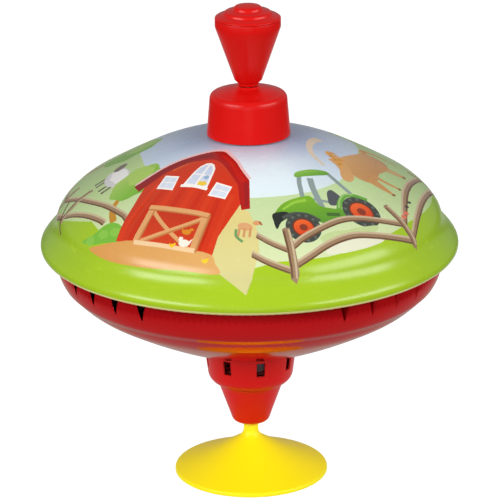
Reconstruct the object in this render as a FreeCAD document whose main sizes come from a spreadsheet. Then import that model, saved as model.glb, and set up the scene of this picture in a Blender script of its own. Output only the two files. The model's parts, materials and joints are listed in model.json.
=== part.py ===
"""Pump-action humming top on a suction foot: a tin body that spins on a fixed steel spindle.

Frame: millimetres, +Z up along the spin axis, origin in the middle of the foot's flat lip, -Y to the
front. The top is drawn with its knob pushed right down, so the plunger's travel is upwards.
"""
import FreeCAD, Part
import math
import os
import Sketcher

doc = FreeCAD.newDocument("humming_top")

# ---------------------------------------------------------------- driving dimensions
DIMENSIONS = [
    # suction foot
    ("foot_radius", 35.4, "outside of the foot's flat lip"),
    ("foot_lip_width", 2.4, "flat part of the lip that seals on a table"),
    ("foot_lip_height", 1.2, "straight edge of the lip"),
    ("foot_hollow_top", 10.8, "roof of the hollow under the foot"),
    ("neck_radius", 3.4, "thin neck of the foot"),
    ("neck_top", 23.7, "top of the foot's neck"),
    ("spindle_radius", 1.5, "steel spindle, a 3 mm rod"),
    ("spindle_foot", 12.6, "lower end of the spindle, moulded into the foot"),
    ("spindle_top", 40.6, "upper end of the spindle"),
    ("clip_height", 38.7, "underside of the clip that keeps the body on the spindle"),
    ("clip_thickness", 0.7, "thickness of that clip"),
    ("clip_groove_radius", 1.1, "radius left inside the clip's groove"),
    ("running_gap", 0.05, "radial clearance of a turning fit"),
    ("free_gap", 0.3, "clearance between pieces that must not rub"),
    # air inlet housing under the body
    ("housing_bottom", 24.45, "underside of the housing's hub"),
    ("housing_foot_radius", 8.9, "lower end of the housing's cone"),
    ("housing_foot_height", 26.8, "height of that end"),
    ("housing_waist_radius", 14.7, "upper end of the cone, under the shoulder"),
    ("housing_waist_height", 43.2, "height of that end"),
    ("housing_drum_radius", 19.7, "lower end of the window drum"),
    ("housing_drum_height", 49.8, "height of that end"),
    ("housing_top_radius", 21.2, "upper end of the drum, on the bowl"),
    ("housing_top_height", 61.55, "height of that end"),
    ("housing_wall", 1.6, "wall of the housing"),
    ("hub_radius", 5.0, "outside of the hub round the bush"),
    ("bush_radius", 2.9, "outside of the bronze bush"),
    ("bush_top", 38.3, "upper end of the bush"),
    ("window_width", 3.9, "width of an air window"),
    ("window_low", 52.7, "sill of the air windows"),
    ("window_high", 59.7, "lintel of the air windows"),
    ("window_count", 8, "air windows round the drum"),
    ("window_turn", 13.4, "angle of the first window from the front, degrees"),
    # tin body
    ("tin", 0.4, "thickness of the printed tinplate"),
    ("bowl_hole_radius", 19.5, "hole in the middle of the bowl"),
    ("bowl_hole_height", 61.2, "height of the bowl's outside at that hole"),
    ("bowl_wall_radius", 88.0, "outside of the bowl's upright wall"),
    ("bowl_wall_height", 104.0, "lower end of that wall"),
    ("bowl_top", 113.0, "upper edge of the bowl, hidden in the rim"),
    ("slot_tip", 101.2, "lower tip of the humming slots"),
    ("slot_top", 109.4, "upper end of the humming slots, behind the rim"),
    ("slot_half_width", 2.8, "half the slots' width at the top"),
    ("slot_pitch", 9.75, "angle between slots of one group, degrees"),
    ("slots_in_group", 4, "slots in one group"),
    ("slot_groups", 4, "groups of slots"),
    ("slot_turn", -47.3, "middle of the first group from the front, degrees"),
    ("dome_hole_radius", 11.8, "hole in the crown of the dome"),
    ("dome_hole_height", 163.2, "height of the dome at that hole"),
    ("rim_radius", 95.0, "outside of the rolled rim, half of 190 mm"),
    ("rim_height", 113.3, "height at which the rim is widest"),
    # reed plate
    ("plate_radius", 26.0, "outside of the reed plate"),
    ("plate_low", 62.2, "underside of the reed plate at the bowl's hole"),
    ("plate_high", 66.6, "upper face of the reed plate"),
    ("plate_collar_radius", 9.0, "collar that holds the centre tube"),
    ("plate_collar_top", 72.0, "upper end of that collar"),
    ("reed_count", 6, "reeds in the plate"),
    ("reed_length", 12.0, "length of a reed tongue"),
    ("reed_width", 2.6, "width of a reed tongue"),
    ("reed_thickness", 0.25, "thickness of a reed tongue"),
    ("reed_inner", 10.2, "distance of a reed's root from the axis"),
    ("rivet_radius", 0.8, "shank of a reed's rivet"),
    # centre tube and clutch
    ("tube_radius", 6.8, "outside of the centre tube"),
    ("tube_bore", 6.2, "inside of the centre tube"),
    ("tube_low", 50.0, "lower end of the centre tube"),
    ("tube_high", 158.0, "upper end of the centre tube"),
    ("carrier_low", 155.0, "underside of the clutch carrier"),
    ("carrier_floor", 158.6, "floor inside the clutch carrier"),
    ("carrier_skirt_radius", 11.6, "skirt that fits the dome's hole"),
    ("carrier_flange_radius", 15.8, "flange that lies on the dome"),
    ("carrier_flange_low", 163.35, "underside of that flange"),
    ("carrier_flange_high", 165.0, "upper face of that flange"),
    ("carrier_wall_radius", 13.4, "outside of the carrier's upright wall"),
    ("carrier_bore", 10.4, "inside of the carrier"),
    ("carrier_high", 174.6, "upper end of the carrier's wall"),
    ("clutch_bore", 3.4, "hole for the rod in the clutch ring"),
    ("clutch_face", 161.2, "upper face of the clutch ring"),
    ("tooth_height", 1.6, "height of the clutch's crown teeth"),
    ("tooth_inner", 5.6, "inside of the ring of teeth"),
    ("tooth_outer", 9.2, "outside of the ring of teeth"),
    ("tooth_count", 12, "teeth on each half of the clutch"),
    ("nut_radius", 9.9, "outside of the drive nut"),
    ("nut_low", 164.7, "underside of the drive nut, above its teeth"),
    ("nut_high", 172.0, "upper face of the drive nut"),
    ("drive_plate_radius", 6.5, "outside of the slotted steel plate"),
    ("drive_plate_thickness", 1.2, "thickness of that plate"),
    ("cover_high", 176.2, "upper face of the nut cover"),
    # top cap
    ("cap_low", 163.2, "lower edge of the top cap, on the dome"),
    ("cap_low_radius", 18.9, "outside of the cap at that edge"),
    ("cap_shoulder_radius", 17.5, "outside of the cap under its rounded shoulder"),
    ("cap_shoulder_height", 180.2, "height of that place"),
    ("cap_crown_radius", 14.6, "inner end of the rounded shoulder"),
    ("cap_crown_height", 182.6, "height of that place"),
    ("cap_boss_radius", 4.9, "small boss round the rod's hole"),
    ("cap_high", 185.6, "upper face of that boss"),
    ("cap_wall", 1.6, "wall of the cap"),
    ("cap_hole", 3.1, "hole for the rod in the cap"),
    # plunger
    ("rod_width", 5.0, "width of the twisted steel strip"),
    ("rod_thickness", 1.6, "thickness of the twisted steel strip"),
    ("rod_pitch", 60.0, "length of one full twist"),
    ("rod_low", 51.0, "lower end of the rod with the knob pushed down"),
    ("rod_high", 205.4, "upper end of the rod, inside the knob"),
    ("stop_radius", 5.8, "outside of the stop on the rod's lower end"),
    ("stop_low", 52.0, "underside of that stop"),
    ("stop_high", 57.0, "upper face of that stop"),
    ("knob_low", 185.9, "underside of the knob"),
    ("knob_neck_radius", 4.6, "neck at the bottom of the knob"),
    ("knob_cone_radius", 6.2, "lower end of the knob's cone"),
    ("knob_cone_height", 188.5, "height of that end"),
    ("knob_radius", 14.8, "widest part of the knob"),
    ("knob_band_low", 213.4, "lower end of the knob's straight band"),
    ("knob_band_high", 216.6, "upper end of that band, where the plug sits"),
    ("knob_socket_top", 202.0, "floor of the hollow in the knob"),
    ("knob_top", 223.0, "top of the knob's stepped plug"),
    ("pin_radius", 0.6, "cross pins through the rod"),
]


class Size:
    """A length that knows both its value and the sheet expression it comes from."""

    def __init__(self, text, value):
        self.text = text
        self.value = value

    def _join(self, sign, other, value):
        right = other.text if isinstance(other, Size) else repr(other)
        return Size("(%s %s %s)" % (self.text, sign, right), value)

    def __add__(self, other):
        return self._join("+", other, self.value + number(other))

    def __sub__(self, other):
        return self._join("-", other, self.value - number(other))

    def __mul__(self, other):
        return self._join("*", other, self.value * number(other))

    def __truediv__(self, other):
        return self._join("/", other, self.value / number(other))


def number(size):
    """The plain value of a Size or of a number."""
    return size.value if isinstance(size, Size) else float(size)


def expression(size):
    """The sheet expression of a Size, or a number written out."""
    return size.text if isinstance(size, Size) else repr(float(size))


sheet = doc.addObject("Spreadsheet::Sheet", "size")
dim = {}
for row, (alias, value, meaning) in enumerate(DIMENSIONS, start=1):
    sheet.set("A%d" % row, meaning)
    sheet.set("B%d" % row, str(value))
    sheet.setAlias("B%d" % row, alias)
    dim[alias] = Size("size." + alias, float(value))
doc.recompute()

subparts = []


# ---------------------------------------------------------------- drawing helpers
def bind(obj, **sizes):
    """Set properties of an object from the sheet."""
    for name, size in sizes.items():
        obj.setExpression(name, expression(size))


def origin_plane(body, role):
    """One of a body's own origin planes or axes."""
    for feature in body.Origin.OriginFeatures:
        if feature.Role == role:
            return feature
    raise ValueError(role)


def new_body(name):
    """An empty body for one sub-part."""
    body = doc.addObject("PartDesign::Body", name)
    body.Label = name
    subparts.append(body)
    return body


def new_sketch(body, plane, name):
    """A sketch on one of the body's own origin planes."""
    sketch = body.newObject("Sketcher::SketchObject", name)
    sketch.AttachmentSupport = (origin_plane(body, plane), [""])
    sketch.MapMode = "FlatFace"
    return sketch


def arc_through(start, end, radius):
    """Arc from start to end; a positive radius turns left, a negative one right."""
    chord = end - start
    half = chord.Length / 2
    left = FreeCAD.Vector(-chord.y, chord.x, 0).normalize()
    sagitta = abs(radius) - math.sqrt(radius * radius - half * half)
    middle = (start + end) / 2 - left * math.copysign(sagitta, radius)
    return Part.Arc(start, middle, end)


def smooth_radius(start, end, heading):
    """Signed radius of the arc that leaves start along heading and reaches end."""
    chord = end - start
    turn = math.atan2(heading.x * chord.y - heading.y * chord.x, heading.dot(chord))
    return chord.Length / (2 * math.sin(turn))


def heading_on(start, end, radius, place):
    """Direction of travel at the start (place -1) or end (place 1) of an arc or of a line."""
    chord = end - start
    angle = math.atan2(chord.y, chord.x)
    if radius is not None:
        angle += place * math.copysign(math.asin(chord.Length / (2 * abs(radius))), radius)
    return FreeCAD.Vector(math.cos(angle), math.sin(angle), 0)


def pin_corner(sketch, geometry, end, corner):
    """Bind one corner's two coordinates to the sheet."""
    for axis, kind, size in ((-2, "DistanceX", corner[0]), (-1, "DistanceY", corner[1])):
        value = number(size)
        if abs(value) < 1e-9:
            sketch.addConstraint(Sketcher.Constraint("PointOnObject", geometry, end, axis))
            continue
        index = sketch.addConstraint(Sketcher.Constraint(kind, -1, 1, geometry, end, value))
        if isinstance(size, Size):
            sketch.setExpression("Constraints[%d]" % index, size.text)


def draw_outline(sketch, outline):
    """Draw a closed outline of corners (x, y, edge).

    edge says how the corner is joined to the next one: nothing for a line, a radius for an arc
    (positive turns left), or "smooth" for an arc that leaves along the edge before it.
    """
    corners = [(c[0], c[1]) for c in outline]
    edges = [c[2] if len(c) > 2 else None for c in outline]
    points = [FreeCAD.Vector(number(x), number(y), 0) for x, y in corners]
    ends = []
    heading = None
    for i, edge in enumerate(edges):
        start, end = points[i], points[(i + 1) % len(points)]
        radius = None
        if edge == "smooth":
            radius = smooth_radius(start, end, heading)
        elif edge is not None:
            radius = number(edge)
        if radius is None:
            index = sketch.addGeometry(Part.LineSegment(start, end), False)
        else:
            index = sketch.addGeometry(arc_through(start, end, radius), False)
        ends.append((index, 1, 2) if radius is None or radius > 0 else (index, 2, 1))
        heading = heading_on(start, end, radius, 1)
    for i, edge in enumerate(edges):
        before, here = ends[i - 1], ends[i]
        joint = "Tangent" if edge == "smooth" else "Coincident"
        sketch.addConstraint(Sketcher.Constraint(joint, before[0], before[2], here[0], here[1]))
        pin_corner(sketch, here[0], here[1], corners[i])
        if isinstance(edge, (Size, float, int)):
            index = sketch.addConstraint(Sketcher.Constraint("Radius", here[0], abs(number(edge))))
            if isinstance(edge, Size):
                sketch.setExpression("Constraints[%d]" % index, edge.text)


def turned(name, outline):
    """A body turned about the vertical axis from one outline of radii and heights."""
    body = new_body(name)
    sketch = new_sketch(body, "XZ_Plane", name + "_outline")
    draw_outline(sketch, outline)
    revolution = body.newObject("PartDesign::Revolution", name + "_turning")
    revolution.Profile = sketch
    revolution.ReferenceAxis = (sketch, ["V_Axis"])
    revolution.Angle = 360.0
    return body


def ring(inner, outer, low, high):
    """Outline of a plain ring."""
    return [(inner, low), (outer, low), (outer, high), (inner, high)]


def polar(body, feature, count, name, angle=360.0):
    """Repeat one feature of a body round the vertical axis."""
    pattern = body.newObject("PartDesign::PolarPattern", name)
    pattern.Originals = [feature]
    pattern.Axis = (origin_plane(body, "Z_Axis"), [""])
    pattern.Angle = angle
    if isinstance(count, Size):
        pattern.setExpression("Occurrences", count.text)
    else:
        pattern.Occurrences = count
    body.Tip = pattern
    return pattern


def cut_outline(body, plane, outline, name, length, reverse=False, midplane=False):
    """A pocket of one outline, whose direction is set by reverse or midplane."""
    sketch = new_sketch(body, plane, name + "_outline")
    draw_outline(sketch, outline)
    pocket = body.newObject("PartDesign::Pocket", name)
    pocket.Profile = sketch
    pocket.Type = 0
    pocket.Midplane = midplane
    pocket.Reversed = reverse
    bind(pocket, Length=length)
    return pocket


def solid_volume(body):
    """Volume of a body as it now stands."""
    doc.recompute()
    return body.Shape.Volume


def must_cut(body, before):
    """Stop if the last pocket removed nothing."""
    after = solid_volume(body)
    if after > before - 0.5:
        raise RuntimeError("nothing was cut from " + body.Label)


def round_pin(name, radius, length, low, high):
    """A cross pin along X, centred on the axis, half way between two heights."""
    pin = doc.addObject("Part::Cylinder", name)
    pin.Label = name
    bind(pin, Radius=radius, Height=length)
    pin.setExpression("Placement.Base.x", "-%s / 2" % expression(length))
    pin.setExpression("Placement.Base.z", "(%s + %s) / 2" % (expression(low), expression(high)))
    pin.Placement.Rotation = FreeCAD.Rotation(FreeCAD.Vector(0, 1, 0), 90)
    subparts.append(pin)
    return pin


def group(name, members):
    """Identical separate pieces that share one sub-part."""
    compound = doc.addObject("Part::Compound", name)
    compound.Label = name
    compound.Links = members
    subparts.append(compound)
    return compound


def around(count, radius, first=0.0):
    """Angle and placement of each piece of a ring of pieces."""
    for i in range(int(count)):
        angle = first + 360.0 * i / int(count)
        turn = FreeCAD.Rotation(FreeCAD.Vector(0, 0, 1), angle)
        yield i, turn, turn.multVec(FreeCAD.Vector(radius, 0, 0))


# ---------------------------------------------------------------- foot: what stays on the table
def make_foot_cup():
    """Soft suction cup with a thin neck; the spindle is moulded into it."""
    lip_inner = dim["foot_radius"] - dim["foot_lip_width"]
    turned("foot_cup", [
        (0, dim["foot_hollow_top"]),
        (5.0, dim["foot_hollow_top"], None),
        (lip_inner, 0, None),
        (dim["foot_radius"], 0, None),
        (dim["foot_radius"], dim["foot_lip_height"], 1.4),
        (dim["foot_radius"] - 1.1, dim["foot_lip_height"] + 1.0, -130.0),
        (6.2, 15.9, -5.2),
        (dim["neck_radius"], 19.6, None),
        (dim["neck_radius"], dim["neck_top"] - 0.4, 0.4),
        (dim["neck_radius"] - 0.4, dim["neck_top"], None),
        (dim["spindle_radius"], dim["neck_top"], None),
        (dim["spindle_radius"], dim["spindle_foot"], None),
        (0, dim["spindle_foot"], None),
    ])


def make_spindle():
    """Steel spindle with a groove for its clip."""
    radius = dim["spindle_radius"]
    groove_low = dim["clip_height"]
    groove_high = dim["clip_height"] + dim["clip_thickness"]
    turned("foot_spindle", [
        (0, dim["spindle_foot"]),
        (radius, dim["spindle_foot"]),
        (radius, groove_low),
        (dim["clip_groove_radius"], groove_low),
        (dim["clip_groove_radius"], groove_high),
        (radius, groove_high),
        (radius, dim["spindle_top"] - 0.4),
        (radius - 0.4, dim["spindle_top"]),
        (0, dim["spindle_top"]),
    ])


def make_thrust_washer():
    """Washer that carries the body's weight on the foot's neck."""
    turned("thrust_washer", ring(dim["spindle_radius"], dim["neck_radius"] - 0.3,
                                 dim["neck_top"], dim["neck_top"] + 0.45))


def make_spindle_clip():
    """Open spring clip in the spindle's groove."""
    body = turned("spindle_clip", ring(dim["clip_groove_radius"], 2.9, dim["clip_height"],
                                       dim["clip_height"] + dim["clip_thickness"]))
    before = solid_volume(body)
    mouth = [(0.5, -0.8), (4.0, -0.8), (4.0, 0.8), (0.5, 0.8)]
    cut_outline(body, "XY_Plane", mouth, "clip_mouth", dim["spindle_top"] * 2, midplane=True)
    must_cut(body, before)


# ---------------------------------------------------------------- spinner: the body that spins
def make_air_housing():
    """Moulded hopper under the bowl: a hub for the bush, a cone and a drum with air windows."""
    wall = dim["housing_wall"]
    body = turned("air_housing", [
        (dim["bush_radius"], dim["housing_bottom"]),
        (6.4, dim["housing_bottom"], 2.9),
        (dim["housing_foot_radius"], dim["housing_foot_height"]),
        (dim["housing_waist_radius"], dim["housing_waist_height"], -1.6),
        (dim["housing_waist_radius"] + 0.9, dim["housing_waist_height"] + 1.0, 6.2),
        (dim["housing_drum_radius"], dim["housing_drum_height"]),
        (dim["housing_top_radius"], dim["housing_top_height"]),
        (dim["housing_top_radius"] - wall, dim["housing_top_height"] - 0.45),
        (dim["housing_drum_radius"] - wall, dim["housing_drum_height"] + 0.4, -4.6),
        (dim["housing_waist_radius"] - wall, dim["housing_waist_height"] + 1.0),
        (dim["housing_foot_radius"] - wall, dim["housing_foot_height"] + 1.2),
        (dim["hub_radius"], dim["housing_foot_height"] + 1.2),
        (dim["hub_radius"], dim["bush_top"] - 1.0),
        (dim["bush_radius"], dim["bush_top"] - 1.0),
    ])
    before = solid_volume(body)
    half = dim["window_width"] / 2
    window = [
        (half * -1, dim["window_low"]),
        (half, dim["window_low"]),
        (half, dim["window_high"]),
        (half * -1, dim["window_high"]),
    ]
    pocket = cut_outline(body, "XZ_Plane", window, "air_window", dim["housing_top_radius"] + 2)
    must_cut(body, before)
    polar(body, pocket, dim["window_count"], "air_windows")
    body.Placement.Rotation = FreeCAD.Rotation(FreeCAD.Vector(0, 0, 1), dim["window_turn"].value)


def make_spindle_bush():
    """Bronze bush that runs on the spindle."""
    turned("spindle_bush", ring(dim["spindle_radius"] + dim["running_gap"], dim["bush_radius"],
                                dim["housing_bottom"], dim["bush_top"]))


# The pressed shells are runs of arcs, each the radius of the arc and the slope in degrees at its end.
DOME_SLOPE = -3
DOME_ARCS = ((98, -27), (420, -30.5), (38, -55), (13, -77), (12, -45), (35, -54))
BOWL_SLOPE = 15
BOWL_ARCS = ((150, 24), (320, 30), (45, 56))


def arc_corners(x, y, slope, arcs):
    """Corners at the ends of a run of arcs that starts at (x, y), each arc smooth with the one before."""
    x, y = number(x), number(y)
    corners = []
    for radius, end in arcs:
        chord = 2 * radius * math.sin(math.radians(abs(end - slope)) / 2)
        along = math.radians((slope + end) / 2)
        x += chord * math.cos(along)
        y += chord * math.sin(along)
        corners.append((round(x, 3), round(y, 3), "smooth"))
        slope = end
    return corners


def tin_skin(name, chain, side):
    """A turned skin of tinplate, drawn from the chain of corners along its outside.

    The inside lies left of the chain if side is 1 and right of it if side is -1.
    """
    points = [FreeCAD.Vector(number(corner[0]), number(corner[1]), 0) for corner in chain]
    radii = []
    arriving = []
    leaving = []
    for (x, y, edge), start, end in zip(chain, points, points[1:]):
        radius = smooth_radius(start, end, arriving[-1]) if edge == "smooth" else edge
        radii.append(radius)
        leaving.append(heading_on(start, end, radius, -1))
        arriving.append(heading_on(start, end, radius, 1))
    arriving.insert(0, leaving[0])
    leaving.append(arriving[-1])
    inside = []
    for (x, y, edge), before, after in zip(chain, arriving, leaving):
        inward = FreeCAD.Vector(-before.y - after.y, before.x + after.x, 0)
        inward *= side / (1 + before.dot(after))
        inside.append((dim["tin"] * round(inward.x, 4) + x, dim["tin"] * round(inward.y, 4) + y))
    back = []
    for i in reversed(range(len(radii))):
        edge = radii[i]
        if i + 1 < len(radii) and chain[i + 1][2] == "smooth":
            edge = "smooth"
        elif edge is not None:
            edge = side * dim["tin"].value - edge
        back.append(inside[i + 1] + (edge,))
    return turned(name, list(chain) + back + [inside[0]])


def make_lower_shell():
    """Red tin bowl with its humming slots."""
    body = tin_skin("lower_shell", [
        (dim["bowl_hole_radius"], dim["bowl_hole_height"], 150.0),
        *arc_corners(dim["bowl_hole_radius"], dim["bowl_hole_height"], BOWL_SLOPE, BOWL_ARCS),
        (dim["bowl_wall_radius"], dim["bowl_wall_height"], None),
        (dim["bowl_wall_radius"], dim["bowl_top"], None),
    ], 1)
    before = solid_volume(body)
    slot = [
        (0, dim["slot_tip"]),
        (dim["slot_half_width"], dim["slot_top"]),
        (dim["slot_half_width"] * -1, dim["slot_top"]),
    ]
    pocket = cut_outline(body, "XZ_Plane", slot, "humming_slot", dim["bowl_wall_radius"] + 4)
    must_cut(body, before)
    in_group = doc.addObject("PartDesign::PolarPattern", "slots_in_a_group")
    groups = doc.addObject("PartDesign::PolarPattern", "groups_of_slots")
    for pattern in (in_group, groups):
        pattern.Axis = (origin_plane(body, "Z_Axis"), [""])
    in_group.setExpression("Occurrences", "size.slots_in_group")
    in_group.setExpression("Angle", "size.slot_pitch * (size.slots_in_group - 1)")
    groups.setExpression("Occurrences", "size.slot_groups")
    groups.Angle = 360.0
    slots = body.newObject("PartDesign::MultiTransform", "all_humming_slots")
    slots.Originals = [pocket]
    slots.Transformations = [in_group, groups]
    body.Tip = slots
    first = dim["slot_turn"].value - dim["slot_pitch"].value * (dim["slots_in_group"].value - 1) / 2
    body.Placement.Rotation = FreeCAD.Rotation(FreeCAD.Vector(0, 0, 1), first)


def make_upper_shell():
    """Printed tin dome whose rim is rolled under onto the bowl."""
    tin_skin("upper_shell", [
        (dim["dome_hole_radius"], dim["dome_hole_height"], -DOME_ARCS[0][0]),
        *arc_corners(dim["dome_hole_radius"], dim["dome_hole_height"], DOME_SLOPE, DOME_ARCS),
        (dim["rim_radius"], dim["rim_height"], "smooth"),
        (92.0, 109.5, None),
        (dim["bowl_wall_radius"] + 0.2, 109.0, None),
    ], -1)


def make_reed_plate():
    """Moulded plate over the bowl's hole, with a channel for each reed."""
    tube = dim["tube_radius"]
    collar = dim["plate_collar_radius"]
    body = turned("reed_plate", [
        (tube, dim["plate_low"] - 2.0),
        (dim["bowl_hole_radius"] - 0.3, dim["plate_low"] - 2.0),
        (dim["bowl_hole_radius"] - 0.3, dim["plate_low"]),
        (dim["plate_radius"], dim["plate_low"] + 2.4),
        (dim["plate_radius"], dim["plate_high"]),
        (collar, dim["plate_high"]),
        (collar, dim["plate_collar_top"]),
        (tube, dim["plate_collar_top"]),
    ])
    before = solid_volume(body)
    half = dim["reed_width"] / 2 + 0.3
    inner = dim["reed_inner"] + 2.6
    outer = dim["reed_inner"] + dim["reed_length"] + 0.3
    channel = [(inner, half * -1), (outer, half * -1), (outer, half), (inner, half)]
    pocket = cut_outline(body, "XY_Plane", channel, "reed_channel", dim["plate_high"] * 3, midplane=True)
    must_cut(body, before)
    polar(body, pocket, dim["reed_count"], "reed_channels")


def make_reeds():
    """Brass tongues over the channels, each held by one rivet."""
    tongues = []
    rivets = []
    for i, turn, place in around(dim["reed_count"].value, dim["reed_inner"].value):
        tongue = doc.addObject("Part::Box", "reed_%d" % (i + 1))
        bind(tongue, Length=dim["reed_length"], Width=dim["reed_width"], Height=dim["reed_thickness"])
        side = turn.multVec(FreeCAD.Vector(0, -dim["reed_width"].value / 2, 0))
        top = FreeCAD.Vector(0, 0, dim["plate_high"].value)
        tongue.Placement = FreeCAD.Placement(place + side + top, turn)
        rivet = doc.addObject("Part::Cylinder", "rivet_%d" % (i + 1))
        bind(rivet, Radius=dim["rivet_radius"])
        rivet.Height = 0.6
        root = turn.multVec(FreeCAD.Vector(1.2, 0, dim["reed_thickness"].value))
        rivet.Placement = FreeCAD.Placement(place + root + top, turn)
        tongues.append(tongue)
        rivets.append(rivet)
    group("reeds", tongues)
    group("reed_rivets", rivets)


def make_centre_tube():
    """Tube that joins the reed plate to the clutch carrier and guides the rod's stop."""
    turned("centre_tube", ring(dim["tube_bore"], dim["tube_radius"], dim["tube_low"], dim["tube_high"]))


def make_clutch_carrier():
    """Cup in the crown of the dome that holds the clutch and, by its flange, the top cap."""
    turned("clutch_carrier", [
        (dim["tube_radius"], dim["carrier_low"]),
        (dim["carrier_skirt_radius"], dim["carrier_low"]),
        (dim["carrier_skirt_radius"], dim["carrier_flange_low"]),
        (dim["carrier_flange_radius"], dim["carrier_flange_low"]),
        (dim["carrier_flange_radius"], dim["carrier_flange_high"]),
        (dim["carrier_wall_radius"], dim["carrier_flange_high"]),
        (dim["carrier_wall_radius"], dim["carrier_high"]),
        (dim["carrier_bore"], dim["carrier_high"]),
        (dim["carrier_bore"], dim["carrier_floor"]),
        (dim["tube_radius"], dim["carrier_floor"]),
    ])


def tooth_wedge(inner, outer, count, duty):
    """Outline of one crown tooth, a sector with straight sides."""
    half = math.pi / count * duty
    corners = []
    for radius, angle in ((inner, -half), (outer, -half), (outer, half), (inner, half)):
        corners.append((radius * math.cos(angle), radius * math.sin(angle)))
    return corners


def add_teeth(body, name, face_height, height, upwards):
    """Crown teeth on a flat face of a clutch half."""
    sketch = new_sketch(body, "XY_Plane", name + "_outline")
    draw_outline(sketch, tooth_wedge(dim["tooth_inner"].value, dim["tooth_outer"].value,
                                     dim["tooth_count"].value, 0.42))
    sketch.AttachmentOffset = FreeCAD.Placement(FreeCAD.Vector(0, 0, face_height), FreeCAD.Rotation())
    pad = body.newObject("PartDesign::Pad", name)
    pad.Profile = sketch
    pad.Reversed = not upwards
    bind(pad, Length=height)
    doc.recompute()
    polar(body, pad, dim["tooth_count"], name + "_ring")


def make_clutch_ring():
    """Fixed half of the clutch, on the carrier's floor."""
    body = turned("clutch_ring", ring(dim["clutch_bore"], dim["carrier_bore"],
                                      dim["carrier_floor"], dim["clutch_face"]))
    add_teeth(body, "clutch_tooth", dim["clutch_face"].value, dim["tooth_height"], True)


def make_drive_nut():
    """Turning half of the clutch, drawn lifted clear of the fixed half, where it freewheels."""
    plate_seat = dim["nut_high"] - dim["drive_plate_thickness"]
    body = turned("drive_nut", [
        (dim["clutch_bore"], dim["nut_low"]),
        (dim["nut_radius"], dim["nut_low"]),
        (dim["nut_radius"], dim["nut_high"] - 2.0),
        (dim["nut_radius"] - 1.2, dim["nut_high"]),
        (dim["drive_plate_radius"], dim["nut_high"]),
        (dim["drive_plate_radius"], plate_seat),
        (dim["clutch_bore"], plate_seat),
    ])
    add_teeth(body, "nut_tooth", dim["nut_low"].value, dim["tooth_height"], False)


def rod_angle(height):
    """Direction of the strip's wide side at a height, in degrees."""
    return 360.0 * (height - dim["rod_low"].value) / dim["rod_pitch"].value


def make_drive_plate():
    """Steel plate let into the nut; the twisted strip runs through its straight slot."""
    high = dim["nut_high"]
    low = high - dim["drive_plate_thickness"]
    body = turned("drive_plate", [(0, low), (dim["drive_plate_radius"], low),
                                  (dim["drive_plate_radius"], high), (0, high)])
    before = solid_volume(body)
    half_width = dim["rod_width"] / 2 + dim["free_gap"]
    half_thickness = dim["rod_thickness"] / 2 + dim["free_gap"]
    slot = [
        (half_width * -1, half_thickness * -1),
        (half_width, half_thickness * -1),
        (half_width, half_thickness),
        (half_width * -1, half_thickness),
    ]
    cut_outline(body, "XY_Plane", slot, "rod_slot", high * 3, midplane=True)
    must_cut(body, before)
    middle = (high.value + low.value) / 2
    body.Placement.Rotation = FreeCAD.Rotation(FreeCAD.Vector(0, 0, 1), rod_angle(middle))


def make_nut_cover():
    """Lid that leaves the nut one millimetre to lift and freewheel."""
    turned("nut_cover", [
        (dim["clutch_bore"], dim["carrier_high"]),
        (7.0, dim["carrier_high"]),
        (7.0, dim["nut_high"] + 0.5),
        (dim["nut_radius"] - 1.4, dim["nut_high"] + 0.5),
        (dim["nut_radius"] - 0.4, dim["carrier_high"]),
        (dim["carrier_wall_radius"], dim["carrier_high"]),
        (dim["carrier_wall_radius"], dim["cover_high"]),
        (dim["clutch_bore"], dim["cover_high"]),
    ])


def make_cover_screws():
    """Three small screws that hold the cover on the carrier."""
    screws = []
    middle = (dim["carrier_wall_radius"].value + dim["carrier_bore"].value) / 2
    for i, turn, place in around(3, middle, 30.0):
        head = doc.addObject("Part::Cylinder", "screw_head_%d" % (i + 1))
        head.Radius = 1.4
        head.Height = 0.9
        socket = doc.addObject("Part::Cylinder", "screw_recess_%d" % (i + 1))
        socket.Radius = 0.6
        socket.Height = 0.9
        top = FreeCAD.Vector(0, 0, dim["cover_high"].value)
        head.Placement = FreeCAD.Placement(place + top, turn)
        socket.Placement = FreeCAD.Placement(place + top + FreeCAD.Vector(0, 0, 0.4), turn)
        screw = doc.addObject("Part::Cut", "screw_%d" % (i + 1))
        screw.Base = head
        screw.Tool = socket
        screws.append(screw)
    group("cover_screws", screws)


def make_top_cap():
    """Red collar that hides the clutch and carries the rod's hole."""
    wall = dim["cap_wall"]
    turned("top_cap", [
        (dim["cap_low_radius"] - wall, dim["cap_low"]),
        (dim["cap_low_radius"], dim["cap_low"]),
        (dim["cap_shoulder_radius"], dim["cap_shoulder_height"], 2.9),
        (dim["cap_crown_radius"], dim["cap_crown_height"], 30.0),
        (dim["cap_boss_radius"] + 0.4, dim["cap_high"] - 0.6),
        (dim["cap_boss_radius"], dim["cap_high"]),
        (dim["cap_hole"], dim["cap_high"]),
        (dim["cap_hole"], dim["cap_high"] - 2.2, -32.0),
        (dim["cap_crown_radius"] - 0.6, dim["cap_crown_height"] - wall - 0.1, -1.8),
        (dim["cap_shoulder_radius"] - wall, dim["cap_shoulder_height"] - 0.6),
    ])


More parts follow.
